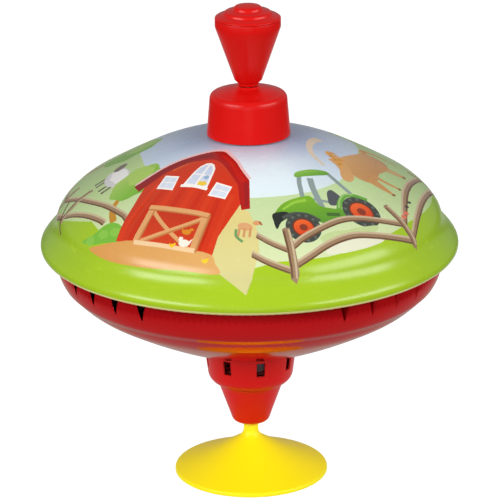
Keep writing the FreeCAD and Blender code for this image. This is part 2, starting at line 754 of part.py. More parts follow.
# ---------------------------------------------------------------- plunger: knob and twisted rod
def make_spiral_rod():
    """Steel strip twisted about its own length, drawn as short twisted lengths joined end to end."""
    low, high = dim["rod_low"].value, dim["rod_high"].value
    half_width = dim["rod_width"].value / 2
    half_thickness = dim["rod_thickness"].value / 2
    corners = [(-half_width, -half_thickness), (half_width, -half_thickness),
               (half_width, half_thickness), (-half_width, half_thickness)]
    steps = 62

    def section(height):
        turn = FreeCAD.Rotation(FreeCAD.Vector(0, 0, 1), rod_angle(height))
        points = [turn.multVec(FreeCAD.Vector(x, y, 0)) + FreeCAD.Vector(0, 0, height) for x, y in corners]
        return Part.makePolygon(points + points[:1])

    sections = [section(low + (high - low) * i / steps) for i in range(steps + 1)]
    strip = Part.makeLoft(sections, True, True)
    rod = doc.addObject("Part::Feature", "spiral_rod")
    rod.Label = "spiral_rod"
    rod.Shape = strip
    rod.Placement = FreeCAD.Placement()
    subparts.append(rod)


def make_rod_stop():
    """Nylon bush on the rod's lower end; it meets the clutch ring when the knob is fully up."""
    bore = dim["rod_width"] / 2 + 0.2
    turned("rod_stop", [
        (bore, dim["stop_low"]),
        (dim["stop_radius"] - 0.5, dim["stop_low"]),
        (dim["stop_radius"], dim["stop_low"] + 0.5),
        (dim["stop_radius"], dim["stop_high"] - 0.5),
        (dim["stop_radius"] - 0.5, dim["stop_high"]),
        (bore, dim["stop_high"]),
    ])
    round_pin("stop_pin", dim["pin_radius"], dim["stop_radius"] * 1.7, dim["stop_low"], dim["stop_high"])


def make_knob():
    """Hollow cone that the hand pumps, with a socket for the rod."""
    bore = dim["rod_width"] / 2 + 0.2
    floor = dim["knob_socket_top"]
    turned("knob", [
        (bore, dim["knob_low"]),
        (dim["knob_neck_radius"] - 0.4, dim["knob_low"], 0.4),
        (dim["knob_neck_radius"], dim["knob_low"] + 0.4),
        (dim["knob_neck_radius"], dim["knob_low"] + 1.1, -0.9),
        (dim["knob_neck_radius"] + 0.7, dim["knob_low"] + 1.7, 1.6),
        (dim["knob_cone_radius"], dim["knob_cone_height"]),
        (dim["knob_radius"] - 0.3, dim["knob_band_low"] - 1.2, 6.0),
        (dim["knob_radius"], dim["knob_band_low"]),
        (dim["knob_radius"], dim["knob_band_high"]),
        (dim["knob_radius"] - 1.9, dim["knob_band_high"]),
        (dim["knob_radius"] - 1.9, dim["knob_band_low"] - 0.6),
        (9.0, floor),
        (bore, floor),
    ])


def make_knob_plug():
    """Stepped round plug that closes the knob."""
    edge = dim["knob_radius"]
    top = dim["knob_top"]
    turned("knob_plug", [
        (0, dim["knob_band_high"] - 1.2),
        (edge - 2.0, dim["knob_band_high"] - 1.2),
        (edge - 2.0, dim["knob_band_high"]),
        (edge, dim["knob_band_high"]),
        (edge, top - 6.0, 0.9),
        (edge - 0.9, top - 5.1),
        (10.9, top - 4.5),
        (10.6, top - 3.5, 0.6),
        (10.0, top - 2.9),
        (6.6, top - 2.3),
        (6.2, top - 1.2, 0.6),
        (5.6, top - 0.6),
        (2.4, top),
        (0, top),
    ])


def make_rod_washer():
    """Washer and cross pin that lock the rod in the knob."""
    floor = dim["knob_socket_top"]
    turned("rod_washer", ring(dim["rod_width"] / 2 + 0.2, 5.4, floor, floor + 0.8))
    round_pin("rod_pin", dim["pin_radius"], dim["pin_radius"] * 15.0, floor + 0.8, floor + 2.0)


make_foot_cup()
make_spindle()
make_thrust_washer()
make_spindle_clip()
make_air_housing()
make_spindle_bush()
make_lower_shell()
make_upper_shell()
make_reed_plate()
make_reeds()
make_centre_tube()
make_clutch_carrier()
make_clutch_ring()
make_nut_cover()
make_cover_screws()
make_top_cap()
make_drive_nut()
make_drive_plate()
make_spiral_rod()
make_rod_stop()
make_knob()
make_knob_plug()
make_rod_washer()
doc.recompute()

# ---------------------------------------------------------------- check and write
for obj in doc.Objects:
    if "Invalid" in obj.State or "Error" in obj.State:
        raise RuntimeError("%s failed: %s" % (obj.Label, obj.State))
os.makedirs("parts", exist_ok=True)
for part in subparts:
    shape = part.Shape
    if shape.isNull() or not shape.isValid() or not shape.Solids:
        raise RuntimeError("bad shape in " + part.Label)
    shape.exportStep("parts/%s.step" % part.Label)
    box = shape.BoundBox
    print("%-16s solids %d  volume %9.1f  r %6.2f  z %6.2f to %6.2f" % (
        part.Label, len(shape.Solids), shape.Volume, box.XMax, box.ZMin, box.ZMax))
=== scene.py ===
# %% [markdown]
# # Pump-action humming top
# A tin body spins on a fixed steel spindle that stands in a yellow suction foot. A twisted rod with a
# red knob is pumped up and down through the red cap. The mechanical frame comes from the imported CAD
# model; this script adds what is seen of it: pressed and printed tin, moulded plastic, light.
# %%
import json
import math
import random

import bpy
import numpy as np
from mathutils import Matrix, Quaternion, Vector
from mathutils.geometry import delaunay_2d_cdt


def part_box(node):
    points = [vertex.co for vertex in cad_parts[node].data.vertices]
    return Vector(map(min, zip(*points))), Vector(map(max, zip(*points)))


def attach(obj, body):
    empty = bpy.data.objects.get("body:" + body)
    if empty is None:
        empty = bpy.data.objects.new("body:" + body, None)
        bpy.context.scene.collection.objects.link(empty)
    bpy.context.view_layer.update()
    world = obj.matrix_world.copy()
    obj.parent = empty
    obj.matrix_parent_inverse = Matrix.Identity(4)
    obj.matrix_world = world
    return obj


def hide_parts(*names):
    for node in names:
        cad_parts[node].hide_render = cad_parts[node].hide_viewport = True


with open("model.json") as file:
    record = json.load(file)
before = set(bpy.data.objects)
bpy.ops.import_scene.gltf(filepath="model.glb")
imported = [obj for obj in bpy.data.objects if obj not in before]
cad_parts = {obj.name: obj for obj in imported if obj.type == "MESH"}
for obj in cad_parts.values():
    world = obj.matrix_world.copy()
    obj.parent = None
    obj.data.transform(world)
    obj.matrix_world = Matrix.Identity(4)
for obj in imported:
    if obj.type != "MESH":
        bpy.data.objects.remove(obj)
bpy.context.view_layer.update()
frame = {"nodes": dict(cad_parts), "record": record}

MM = 0.001

# %% [markdown]
# ## Outlines
# Every visible shell is a turned part, so each is drawn as half a section in millimetres (radius,
# height). A corner may be joined to the next one by a line, by an arc of a stated radius (positive
# turns left) or by a "smooth" arc that leaves along the edge before it. Real mouldings and pressings
# have no sharp corners, so corners can be eased. A subdivided control mesh could give similar shapes,
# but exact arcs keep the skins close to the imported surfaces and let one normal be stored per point.
# %%
def arc_between(start, end, radius, step):
    """Points after start up to end along an arc that turns left for a positive radius."""
    chord = end - start
    length = np.hypot(*chord)
    half = math.asin(length / 2 / abs(radius))
    left = np.array([-chord[1], chord[0]]) / length
    reach = math.copysign(math.sqrt(radius * radius - length * length / 4), radius)
    centre = (start + end) / 2 + left * reach
    first = math.atan2(*(start - centre)[::-1])
    count = max(2, math.ceil(2 * half * abs(radius) / step))
    angles = first + math.copysign(2 * half, radius) * np.arange(1, count + 1) / count
    return centre + abs(radius) * np.stack([np.cos(angles), np.sin(angles)], 1)


def dense_line(chain, closed, step):
    """A chain as closely spaced points, with the index of each corner."""
    corners = [np.array(c[:2], float) for c in chain]
    points, marks, heading = [corners[0]], [0], None
    for i in range(len(chain) if closed else len(chain) - 1):
        start, end = corners[i], corners[(i + 1) % len(corners)]
        edge = chain[i][2] if len(chain[i]) > 2 else None
        chord = end - start
        if edge == "smooth":
            turn = math.atan2(heading[0] * chord[1] - heading[1] * chord[0], heading @ chord)
            edge = np.hypot(*chord) / (2 * math.sin(turn))
        if edge is None:
            count = max(1, math.ceil(np.hypot(*chord) / step))
            new = start + chord * (np.arange(1, count + 1) / count)[:, None]
        else:
            new = arc_between(start, end, edge, step)
        heading = new[-1] - (new[-2] if len(new) > 1 else points[-1])
        heading = heading / np.hypot(*heading)
        if edge is not None:
            swing = math.copysign(step / 2 / abs(edge), edge)
            heading = np.array([heading[0] * math.cos(swing) - heading[1] * math.sin(swing),
                                heading[0] * math.sin(swing) + heading[1] * math.cos(swing)])
        points.extend(new)
        marks.append(len(points) - 1)
    return np.array(points), marks


def ease(points, index, size):
    """Round one corner of dense points over a length on either side of it."""
    gaps = np.hypot(*np.diff(points, axis=0).T)
    along = np.concatenate([[0], np.cumsum(gaps)])
    here = along[index]
    before = np.array([np.interp(here - size, along, points[:, k]) for k in (0, 1)])
    after = np.array([np.interp(here + size, along, points[:, k]) for k in (0, 1)])
    t = np.linspace(0, 1, 9)[:, None]
    bend = before * (1 - t) ** 2 + 2 * points[index] * t * (1 - t) + after * t ** 2
    keep_low = points[along < here - size]
    keep_high = points[along > here + size]
    return np.concatenate([keep_low, bend, keep_high])


def outline(chain, closed=False, eased=0.0, step=0.15, turn=6.0, longest=7.0, keep=()):
    """Section points and their normals, right of the direction of travel, thinned where straight."""
    points, marks = dense_line(chain, closed, step)
    fixed = [points[marks[i]] for i in keep]
    if closed:
        points = points[:-1]
        shift = marks[1] // 2
        points = np.roll(points, -shift, axis=0)
        points = np.concatenate([points, points[:1]])
        marks = [(m - shift) % (len(points) - 1) for m in marks[:-1]]
    else:
        marks = marks[1:-1]
    corner_points = [points[m].copy() for m in marks]
    for corner in corner_points:
        index = int(np.argmin(np.hypot(*(points - corner).T)))
        if not 0 < index < len(points) - 1:
            continue
        a, b = points[index] - points[index - 1], points[index + 1] - points[index]
        sharp = abs(math.degrees(math.atan2(a[0] * b[1] - a[1] * b[0], a @ b)))
        if sharp > 12 and eased > 0:
            points = ease(points, index, eased)
    apart = np.hypot(*np.diff(points, axis=0).T) > 1e-6
    points = points[np.concatenate([[True], apart])]
    runs = np.diff(points, axis=0)
    runs = runs / np.hypot(*runs.T)[:, None]
    if closed:
        tangents = runs + np.roll(runs, 1, axis=0)
        points = points[:-1]
    else:
        tangents = np.concatenate([runs[:1], runs[1:] + runs[:-1], runs[-1:]])
    tangents = tangents / np.hypot(*tangents.T)[:, None]
    kept, since, last = [0], 0.0, tangents[0]
    for i in range(1, len(points)):
        since += np.hypot(*(points[i] - points[i - 1]))
        bent = math.degrees(math.acos(min(1.0, max(-1.0, float(last @ tangents[i])))))
        must = any(np.hypot(*(points[i] - f)) < 1e-6 for f in fixed)
        if bent > turn or since > longest or must or (i == len(points) - 1 and not closed):
            kept.append(i)
            since, last = 0.0, tangents[i]
    points, tangents = points[kept], tangents[kept]
    return points, np.stack([tangents[:, 1], -tangents[:, 0]], 1)


# %% [markdown]
# ## Meshes
# One routine turns a section about the axis, one gives a single skin its sheet thickness and closes
# its edges, and one hands the finished mesh to the frame. Turning with the Screw modifier would also
# work, but it can't leave windows out or store the exact normals.
# %%
def turned(points, normals, closed, angles=96, leave_out=lambda ring, column: False):
    """A section turned about the axis: points, normals and faces."""
    if isinstance(angles, int):
        angles = np.arange(angles) * 2 * math.pi / angles
    count = len(angles)
    around = np.stack([np.sin(angles), -np.cos(angles)], 1)
    places, facing, rings = [], [], []
    for (radius, height), (out, up) in zip(points, normals):
        if radius < 1e-4:
            rings.append([len(places)] * count)
            places.append((0.0, 0.0, height))
            facing.append((0.0, 0.0, math.copysign(1.0, up)))
            continue
        rings.append(list(range(len(places), len(places) + count)))
        places.extend((radius * x, radius * y, height) for x, y in around)
        facing.extend((out * x, out * y, up) for x, y in around)
    faces = []
    for i in range(len(rings) if closed else len(rings) - 1):
        low, high = rings[i], rings[(i + 1) % len(rings)]
        for j in range(count):
            if leave_out(i, j):
                continue
            k = (j + 1) % count
            face = [low[j], low[k], high[k], high[j]]
            face = [v for n, v in enumerate(face) if v != face[n - 1]]
            if len(face) > 2:
                faces.append(face)
    return np.array(places), np.array(facing), faces


def thickened(places, facing, faces, wall):
    """A skin with an inner side and closed edges; also says 1 for each face of the inner side."""
    count = len(places)
    seen = {}
    for face in faces:
        for a, b in zip(face, face[1:] + face[:1]):
            seen[(a, b)] = True
    edge_faces = [[b, a, a + count, b + count] for a, b in seen if (b, a) not in seen]
    inner = [[v + count for v in reversed(face)] for face in faces]
    sides = [0] * len(faces) + [1] * len(inner) + [0] * len(edge_faces)
    return (np.concatenate([places, places - facing * wall]), np.concatenate([facing, -facing]),
            faces + inner + edge_faces, sides)


def joined(*meshes):
    """Several (points, normals, faces) as one."""
    places, facing, faces, start = [], [], [], 0
    for p, n, f in meshes:
        places.append(p)
        facing.append(n)
        faces.extend([[v + start for v in face] for face in f])
        start += len(p)
    return np.concatenate(places), np.concatenate(facing), faces


def piece(name, mesh_parts, body, materials, stands_for=(), face_material=None):
    """Make a mesh object, let it ride on its body and stand for its CAD nodes."""
    places, facing, faces = mesh_parts[:3]
    mesh = bpy.data.meshes.new(name)
    mesh.from_pydata((places * MM).tolist(), [], faces)
    mesh.polygons.foreach_set("use_smooth", np.ones(len(faces), bool))
    for material in materials:
        mesh.materials.append(material)
    if face_material is not None:
        mesh.polygons.foreach_set("material_index", np.array(face_material, np.int32))
    lengths = np.linalg.norm(facing, axis=1)[:, None]
    mesh.normals_split_custom_set_from_vertices((facing / lengths).tolist())
    mesh.update()
    obj = bpy.data.objects.new(name, mesh)
    bpy.context.scene.collection.objects.link(obj)
    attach(obj, body)
    if stands_for:
        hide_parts(*stands_for)
    triangles = sum(len(face) - 2 for face in faces)
    print(name, len(places), "points", triangles, "triangles")
    return obj


# %% [markdown]
# ## Finishes
# Each material is a Principled surface. What they share, soft colour variation, a fine grain for the
# bump and broad handling marks for the roughness, comes from one node group so that every finish has
# the same detail at its own scale.
# %%
def linear(colour):
    """sRGB 0 to 255 as linear values."""
    c = np.asarray(colour, float) / 255
    return np.where(c <= 0.04045, c / 12.92, ((c + 0.055) / 1.055) ** 2.4)


def link_noise(tree, vector, scale, detail, roughness=0.5):
    """A noise texture read at a vector, scaled."""
    noise = tree.nodes.new("ShaderNodeTexNoise")
    noise.inputs["Scale"].default_value = scale
    noise.inputs["Detail"].default_value = detail
    noise.inputs["Roughness"].default_value = roughness
    tree.links.new(vector, noise.inputs["Vector"])
    return noise.outputs["Fac"]


def make_surface_group():
    """Shared detail: tint, handling marks and grain, all values from 0 to 1."""
    tree = bpy.data.node_groups.new("surface_detail", "ShaderNodeTree")
    face = tree.interface
    face.new_socket("Size", in_out="INPUT", socket_type="NodeSocketFloat").default_value = 1.0
    for name in ("Tint", "Marks", "Grain"):
        face.new_socket(name, in_out="OUTPUT", socket_type="NodeSocketFloat")
    entry = tree.nodes.new("NodeGroupInput")
    leave = tree.nodes.new("NodeGroupOutput")
    place = tree.nodes.new("ShaderNodeTexCoord")
    scaled = tree.nodes.new("ShaderNodeVectorMath")
    scaled.operation = "SCALE"
    tree.links.new(place.outputs["Object"], scaled.inputs[0])
    tree.links.new(entry.outputs["Size"], scaled.inputs["Scale"])
    tree.links.new(link_noise(tree, scaled.outputs[0], 38, 3), leave.inputs["Tint"])
    marks = link_noise(tree, scaled.outputs[0], 90, 6, 0.65)
    ramp = tree.nodes.new("ShaderNodeMapRange")
    ramp.inputs["From Min"].default_value = 0.45
    ramp.inputs["From Max"].default_value = 0.75
    tree.links.new(marks, ramp.inputs["Value"])
    tree.links.new(ramp.outputs[0], leave.inputs["Marks"])
    tree.links.new(link_noise(tree, scaled.outputs[0], 700, 4, 0.6), leave.inputs["Grain"])
    return tree


SURFACE = make_surface_group()


def finish(name, colour, roughness, metallic=0.0, coat=0.0, vary=0.08, bump=0.02, size=1.0,
           subsurface=0.0, coat_ior=1.5, attribute=None, coat_roughness=0.04, specular=0.5,
           edge=(255, 255, 255)):
    """One finish: colour with soft variation, roughness with handling marks, grain as bump."""
    material = bpy.data.materials.new(name)
    material.use_nodes = True
    tree = material.node_tree
    shader = next(n for n in tree.nodes if n.type == "BSDF_PRINCIPLED")
    detail = tree.nodes.new("ShaderNodeGroup")
    detail.node_tree = SURFACE
    detail.inputs["Size"].default_value = size
    rgb = linear(colour)
    mix = tree.nodes.new("ShaderNodeMix")
    mix.data_type = "RGBA"
    low = [*(rgb * (1 - vary)), 1.0]
    high = [*np.minimum(rgb * (1 + vary), 1.0), 1.0]
    mix.inputs[6].default_value = low
    mix.inputs[7].default_value = high
    tree.links.new(detail.outputs["Tint"], mix.inputs[0])
    base = mix.outputs[2]
    if attribute:
        printed = tree.nodes.new("ShaderNodeAttribute")
        printed.attribute_name = attribute
        over = tree.nodes.new("ShaderNodeMix")
        over.data_type = "RGBA"
        over.blend_type = "MULTIPLY"
        over.inputs[0].default_value = 1.0
        tree.links.new(printed.outputs["Color"], over.inputs[6])
        tree.links.new(base, over.inputs[7])
        base = over.outputs[2]
    tree.links.new(base, shader.inputs["Base Color"])
    worn = tree.nodes.new("ShaderNodeMapRange")
    worn.inputs["To Min"].default_value = roughness
    worn.inputs["To Max"].default_value = min(1.0, roughness * 1.15 + 0.01)
    tree.links.new(detail.outputs["Marks"], worn.inputs["Value"])
    tree.links.new(worn.outputs[0], shader.inputs["Roughness"])
    relief = tree.nodes.new("ShaderNodeBump")
    relief.inputs["Strength"].default_value = bump
    relief.inputs["Distance"].default_value = 0.0005
    tree.links.new(detail.outputs["Grain"], relief.inputs["Height"])
    tree.links.new(relief.outputs[0], shader.inputs["Normal"])
    shader.inputs["Metallic"].default_value = metallic
    shader.inputs["Specular IOR Level"].default_value = specular
    shader.inputs["Specular Tint"].default_value = [*linear(edge), 1.0]
    shader.inputs["Coat Weight"].default_value = coat
    shader.inputs["Coat Roughness"].default_value = coat_roughness
    shader.inputs["Coat IOR"].default_value = coat_ior
    shader.inputs["Subsurface Weight"].default_value = subsurface
    shader.inputs["Subsurface Scale"].default_value = 0.002
    return material


finishes = {
    "yellow_plastic": finish("yellow_plastic", (252, 236, 14), 0.4, vary=0.03, specular=0.25),
    "red_plastic": finish("red_plastic", (214, 14, 9), 0.28, vary=0.04, bump=0.015, specular=0.25),
    "printed_tin": finish("printed_tin", (250, 250, 248), 0.26, coat=0.35, vary=0.04, attribute="print",
                          specular=0.25, coat_roughness=0.22),
    "red_tin": finish("red_tin", (216, 17, 25), 0.14, metallic=0.55, vary=0.04, specular=0.15, bump=0.003,
                      coat=0.25, edge=(238, 160, 90)),
    "bare_tin": finish("bare_tin", (205, 205, 210), 0.4, metallic=0.75, vary=0.05, bump=0.04),
    "steel": finish("steel", (190, 192, 196), 0.24, metallic=1.0, vary=0.05, bump=0.03, size=2.0),
    "spring_steel": finish("spring_steel", (120, 122, 128), 0.3, metallic=1.0, vary=0.08, size=3.0),
    "rod_steel": finish("rod_steel", (200, 200, 204), 0.22, metallic=1.0, vary=0.05, bump=0.03, size=2.0),
    "bronze": finish("bronze", (190, 140, 84), 0.38, metallic=1.0, vary=0.1, bump=0.06, size=3.0),
    "reed_brass": finish("reed_brass", (226, 188, 104), 0.25, metallic=1.0, vary=0.05, size=3.0),
    "rivet_alloy": finish("rivet_alloy", (214, 214, 216), 0.35, metallic=1.0, vary=0.05, size=3.0),
    "nylon": finish("nylon", (238, 234, 222), 0.42, vary=0.03, subsurface=0.2, size=2.0),
    "clutch_plastic": finish("clutch_plastic", (58, 62, 66), 0.45, vary=0.1, bump=0.05, size=2.0),
    "dark_plastic": finish("dark_plastic", (36, 36, 38), 0.4, vary=0.1, bump=0.05, size=2.0),
}
slot_of = {row["node"]: row["material_slot"] for row in frame["record"]["subparts"]}
for node, obj in frame["nodes"].items():
    obj.data.materials.clear()
    obj.data.materials.append(finishes[slot_of[node]])
print(len(finishes), "finishes on", len(slot_of), "CAD nodes")

# %% [markdown]
# ## Suction foot
# One soft yellow moulding: a bell with a thin flat lip, a hollow under it and a short neck that grips
# the steel spindle. It's turned as an open section.
# %%
foot_chain = [
    (33.0, 0.0), (35.4, 0.0), (35.4, 1.2, 1.4), (34.3, 2.2, -130.0), (6.2, 15.9, -5.2),
    (3.4, 19.6), (3.4, 23.7), (1.5, 23.7), (1.5, 12.8), (0.4, 12.2), (0.0, 10.8),
]
under_chain = [(0.0, 10.8), (5.0, 10.8), (6.5, 10.6, 6.0), (9.0, 9.9), (33.0, 1.3), (33.0, 0.0)]
foot_low, foot_low_normals = outline(under_chain, eased=0.4)
foot_high, foot_high_normals = outline(foot_chain, eased=0.35)
foot_points = np.concatenate([foot_low, foot_high[1:-1]])
foot_normals = np.concatenate([foot_low_normals, foot_high_normals[1:-1]])
piece("foot_skin", turned(foot_points[:-2], foot_normals[:-2], False, 128), "foot",
      [finishes["yellow_plastic"]], ["foot_cup"])

# %% [markdown]
# ## Air housing
# A thin-walled red hopper: hub, cone, rounded shoulder and a drum with eight upright windows that let
# air in to the reeds. The skin is turned with the windows left out, then given its wall.
# %%
WINDOW_TURN = math.radians(13.4)
housing_chain = [
    (4.6, 24.45), (6.4, 24.45, 2.9), (8.9, 26.8), (14.7, 43.2, -1.6), (15.6, 44.2, 6.2),
    (19.7, 49.8), (20.07, 52.7), (20.97, 59.7), (21.2, 61.55),
]
housing_points, housing_normals = outline(housing_chain, keep=(6, 7), turn=7.0, longest=4.0)
window_half = math.radians(5.5)
window_angles = [WINDOW_TURN + math.pi / 4 * k for k in range(8)]
columns = sorted({round((a + s * window_half) % (2 * math.pi), 6) for a in window_angles for s in (-1, 1)}
                 | {round((a + math.radians(5.5 + 34 * k / 6)) % (2 * math.pi), 6)
                    for a in window_angles for k in range(1, 6)}
                 | {round(a % (2 * math.pi), 6) for a in window_angles})
columns = np.array(columns)


def in_window(ring, column):
    low, high = housing_points[ring], housing_points[ring + 1]
    middle = columns[column] + ((columns[(column + 1) % len(columns)] - columns[column]) % 6.283185) / 2
    off = min(abs((middle - a + math.pi) % (2 * math.pi) - math.pi) for a in window_angles)
    return low[1] > 52.6 and high[1] < 59.8 and off < window_half


hub_points, hub_normals = outline([(2.95, 24.5), (5.0, 24.5), (5.0, 37.2), (2.95, 37.2)], True, 0.2)
housing_skin = thickened(*turned(housing_points, housing_normals, False, columns, in_window), 1.6)
piece("housing_skin", joined(housing_skin[:3], turned(hub_points, hub_normals, True, 48)), "spinner",
      [finishes["red_plastic"]], ["air_housing"])

# %% [markdown]
# ## Cap, knob and knob plug
# The cap is a shallow cup with a rounded shoulder and a boss round the rod's hole. The knob is a cone
# on a short neck, closed by a plug with three steps.
# %%
cap_chain = [
    (18.9, 163.2), (17.5, 180.2, 2.9), (14.6, 182.6, 30.0), (5.3, 185.0), (4.9, 185.6), (3.1, 185.6),
    (3.1, 182.6), (13.4, 181.0), (15.8, 179.4), (17.3, 163.2),
]
cap_points, cap_normals = outline(cap_chain, True, 0.25)
piece("cap_skin", turned(cap_points, cap_normals, True, 128), "spinner",
      [finishes["red_plastic"]], ["top_cap"])

knob_chain = [
    (0.0, 185.9), (4.2, 185.9), (4.6, 186.4), (4.6, 187.0), (6.2, 188.5), (14.5, 212.2, 4.0), (14.8, 213.4),
    (14.8, 216.6), (13.2, 216.6), (13.2, 213.0), (0.0, 213.0),
]
knob_points, knob_normals = outline(knob_chain, False, 0.3)
piece("knob_skin", turned(knob_points, knob_normals, False, 128), "plunger",
      [finishes["red_plastic"]], ["knob"])
plug_chain = [
    (0.0, 215.4), (12.9, 215.4), (12.9, 216.7), (14.8, 216.7), (14.8, 217.2), (13.9, 217.9), (10.9, 218.5),
    (10.6, 219.5), (10.0, 220.1), (6.6, 220.7), (6.2, 221.8), (5.6, 222.4), (2.4, 223.0), (0.0, 223.0),
]
plug_points, plug_normals = outline(plug_chain, False, 0.25)
piece("plug_skin", turned(plug_points, plug_normals, False, 96), "plunger",
      [finishes["red_plastic"]], ["knob_plug"])

# %% [markdown]
# ## Twisted drive rod
# The rod is a flat steel strip twisted evenly, one turn in 60 mm. Geometry Nodes suit it, because its
# shape is one rule: a straight line, a tilt that grows with height, and a small rectangle with rounded
# edges swept along it. Twisting a bar with Simple Deform would do it too, with less even edges.
# %%
def twisted_strip_tree():
    """A tree that makes the strip, and the identifier of each of its inputs."""
    tree = bpy.data.node_groups.new("twisted_strip", "GeometryNodeTree")
    sockets = {}
    kinds = {"Steps": "NodeSocketInt", "Finish": "NodeSocketMaterial"}
    for name in ("Low", "High", "Width", "Thickness", "Pitch", "Edge", "Turn", "Steps", "Finish"):
        kind = kinds.get(name, "NodeSocketFloat")
        sockets[name] = tree.interface.new_socket(name, in_out="INPUT", socket_type=kind).identifier
    tree.interface.new_socket("Strip", in_out="OUTPUT", socket_type="NodeSocketGeometry")
    entry, leave = tree.nodes.new("NodeGroupInput"), tree.nodes.new("NodeGroupOutput")

    def node(kind, links=None, **settings):
        """A node with its settings and what feeds its inputs."""
        made = tree.nodes.new(kind)
        for key, value in settings.items():
            setattr(made, key, value)
        for key, source in (links or {}).items():
            tree.links.new(source, made.inputs[key])
        return made

    given = entry.outputs
    foot = node("ShaderNodeCombineXYZ", {"Z": given["Low"]})
    tip = node("ShaderNodeCombineXYZ", {"Z": given["High"]})
    line = node("GeometryNodeCurvePrimitiveLine", {"Start": foot.outputs[0], "End": tip.outputs[0]})
    fine = node("GeometryNodeResampleCurve", {"Curve": line.outputs[0], "Count": given["Steps"]})
    height = node("ShaderNodeSeparateXYZ", {0: node("GeometryNodeInputPosition").outputs[0]})
    rise = node("ShaderNodeMath", {0: height.outputs["Z"], 1: given["Low"]}, operation="SUBTRACT")
    turns = node("ShaderNodeMath", {0: rise.outputs[0], 1: given["Pitch"]}, operation="DIVIDE")
    angle = node("ShaderNodeMath", {0: turns.outputs[0], 2: given["Turn"]}, operation="MULTIPLY_ADD")
    angle.inputs[1].default_value = 2 * math.pi
    tilted = node("GeometryNodeSetCurveTilt", {"Curve": fine.outputs[0], "Tilt": angle.outputs[0]})
    flat_bar = node("GeometryNodeCurvePrimitiveQuadrilateral", {"Width": given["Width"],
                                                               "Height": given["Thickness"]})
    rounded = node("GeometryNodeFilletCurve", {"Curve": flat_bar.outputs[0], "Radius": given["Edge"]},
                   mode="POLY")
    rounded.inputs["Count"].default_value = 3
    swept = node("GeometryNodeCurveToMesh", {"Curve": tilted.outputs[0],
                                            "Profile Curve": rounded.outputs[0]})
    swept.inputs["Fill Caps"].default_value = True
    solid = node("GeometryNodeRealizeInstances", {"Geometry": swept.outputs[0]})
    coloured = node("GeometryNodeSetMaterial", {"Geometry": solid.outputs[0], "Material": given["Finish"]})
    tree.links.new(coloured.outputs[0], leave.inputs[0])
    return tree, sockets


def grown(name, tree, values):
    """Run a tree with its inputs set by identifier and keep the result as a plain mesh."""
    seed = bpy.data.objects.new(name + "_seed", bpy.data.meshes.new(name + "_seed"))
    bpy.context.scene.collection.objects.link(seed)
    modifier = seed.modifiers.new("grow", "NODES")
    modifier.node_group = tree
    for identifier, value in values.items():
        modifier[identifier] = value
    seed.update_tag()
    view = bpy.context.evaluated_depsgraph_get()
    mesh = bpy.data.meshes.new_from_object(seed.evaluated_get(view))
    seed.modifiers.clear()
    bpy.data.objects.remove(seed)
    mesh.name = name
    obj = bpy.data.objects.new(name, mesh)
    bpy.context.scene.collection.objects.link(obj)
    return obj


strip_tree, strip_inputs = twisted_strip_tree()
rod_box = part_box("spiral_rod")
strip_sizes = {"Low": rod_box[0][2], "High": rod_box[1][2], "Width": 5.0 * MM, "Thickness": 1.6 * MM,
               "Pitch": 60.0 * MM, "Edge": 0.3 * MM, "Turn": 0.0, "Steps": 420,
               "Finish": finishes["rod_steel"]}
rod = grown("drive_rod", strip_tree, {strip_inputs[key]: value for key, value in strip_sizes.items()})
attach(rod, "plunger")
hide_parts("spiral_rod")
print("drive rod", len(rod.data.polygons), "faces")

# %% [markdown]
# ## Pressed tin
# Printed tin toys are printed flat, as a round blank, and then pressed to shape. The dome is made the
# same way: the picture is drawn on a flat disc, cut into triangles along every outline of the drawing,
# and each point is carried to the place the press gives it. Distance from the centre of the blank is
# distance along the profile. The other ways are an image texture, which isn't used here, or a mask in
# nodes for every shape, which would be slow and couldn't be edited as a drawing.
# %%
class Pressing:
    """The profile of a pressed shell, read by distance along it from the middle of its blank."""

    def __init__(self, chain, hole_radius, side):
        points, _ = dense_line(chain, False, 0.1)
        gaps = np.hypot(*np.diff(points, axis=0).T)
        self.along = hole_radius + np.concatenate([[0], np.cumsum(gaps)])
        self.points = points
        runs = np.gradient(points, axis=0)
        runs = runs / np.hypot(*runs.T)[:, None]
        self.normals = side * np.stack([-runs[:, 1], runs[:, 0]], 1)
        self.edge = self.along[-1]

    def press(self, flat):
        """Points and normals in space of points (x, y) on the blank."""
        distance = np.hypot(*flat.T)
        way = flat / distance[:, None]
        radius, height = (np.interp(distance, self.along, self.points[:, k]) for k in (0, 1))
        out, up = (np.interp(distance, self.along, self.normals[:, k]) for k in (0, 1))
        place = np.stack([way[:, 0] * radius, way[:, 1] * radius, height], 1)
        return place, np.stack([way[:, 0] * out, way[:, 1] * out, up], 1)

    def distance_at(self, height):
        """Distance along a rising profile at a height."""
        return float(np.interp(height, self.points[:, 1], self.along))


# The two pressings are runs of arcs, each the radius of the arc and the slope in degrees at its end. The
# bowl carries a small bead that ends its third arc early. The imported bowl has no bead.
TIN = 0.4
DOME_HOLE = (11.8, 163.2)
BOWL_HOLE = (19.5, 61.2)
RIM = (95.0, 113.3)
WALL_RADIUS, WALL_LOW, WALL_HIGH = 88.0, 104.0, 113.0
LIP_WIDTH = 4.4
DOME_SLOPE = -3
DOME_ARCS = ((98, -27), (420, -30.5), (38, -55), (13, -77), (12, -45), (35, -54))
BOWL_SLOPE = 15
BOWL_ARCS = ((150, 24), (320, 30), (45, 48))


def arc_corners(x, y, slope, arcs):
    """Corners at the ends of a run of arcs that starts at (x, y), each arc smooth with the one before."""
    corners = []
    for radius, end in arcs:
        chord = 2 * radius * math.sin(math.radians(abs(end - slope)) / 2)
        along = math.radians((slope + end) / 2)
        x += chord * math.cos(along)
        y += chord * math.sin(along)
        corners.append((x, y, "smooth"))
        slope = end
    return corners


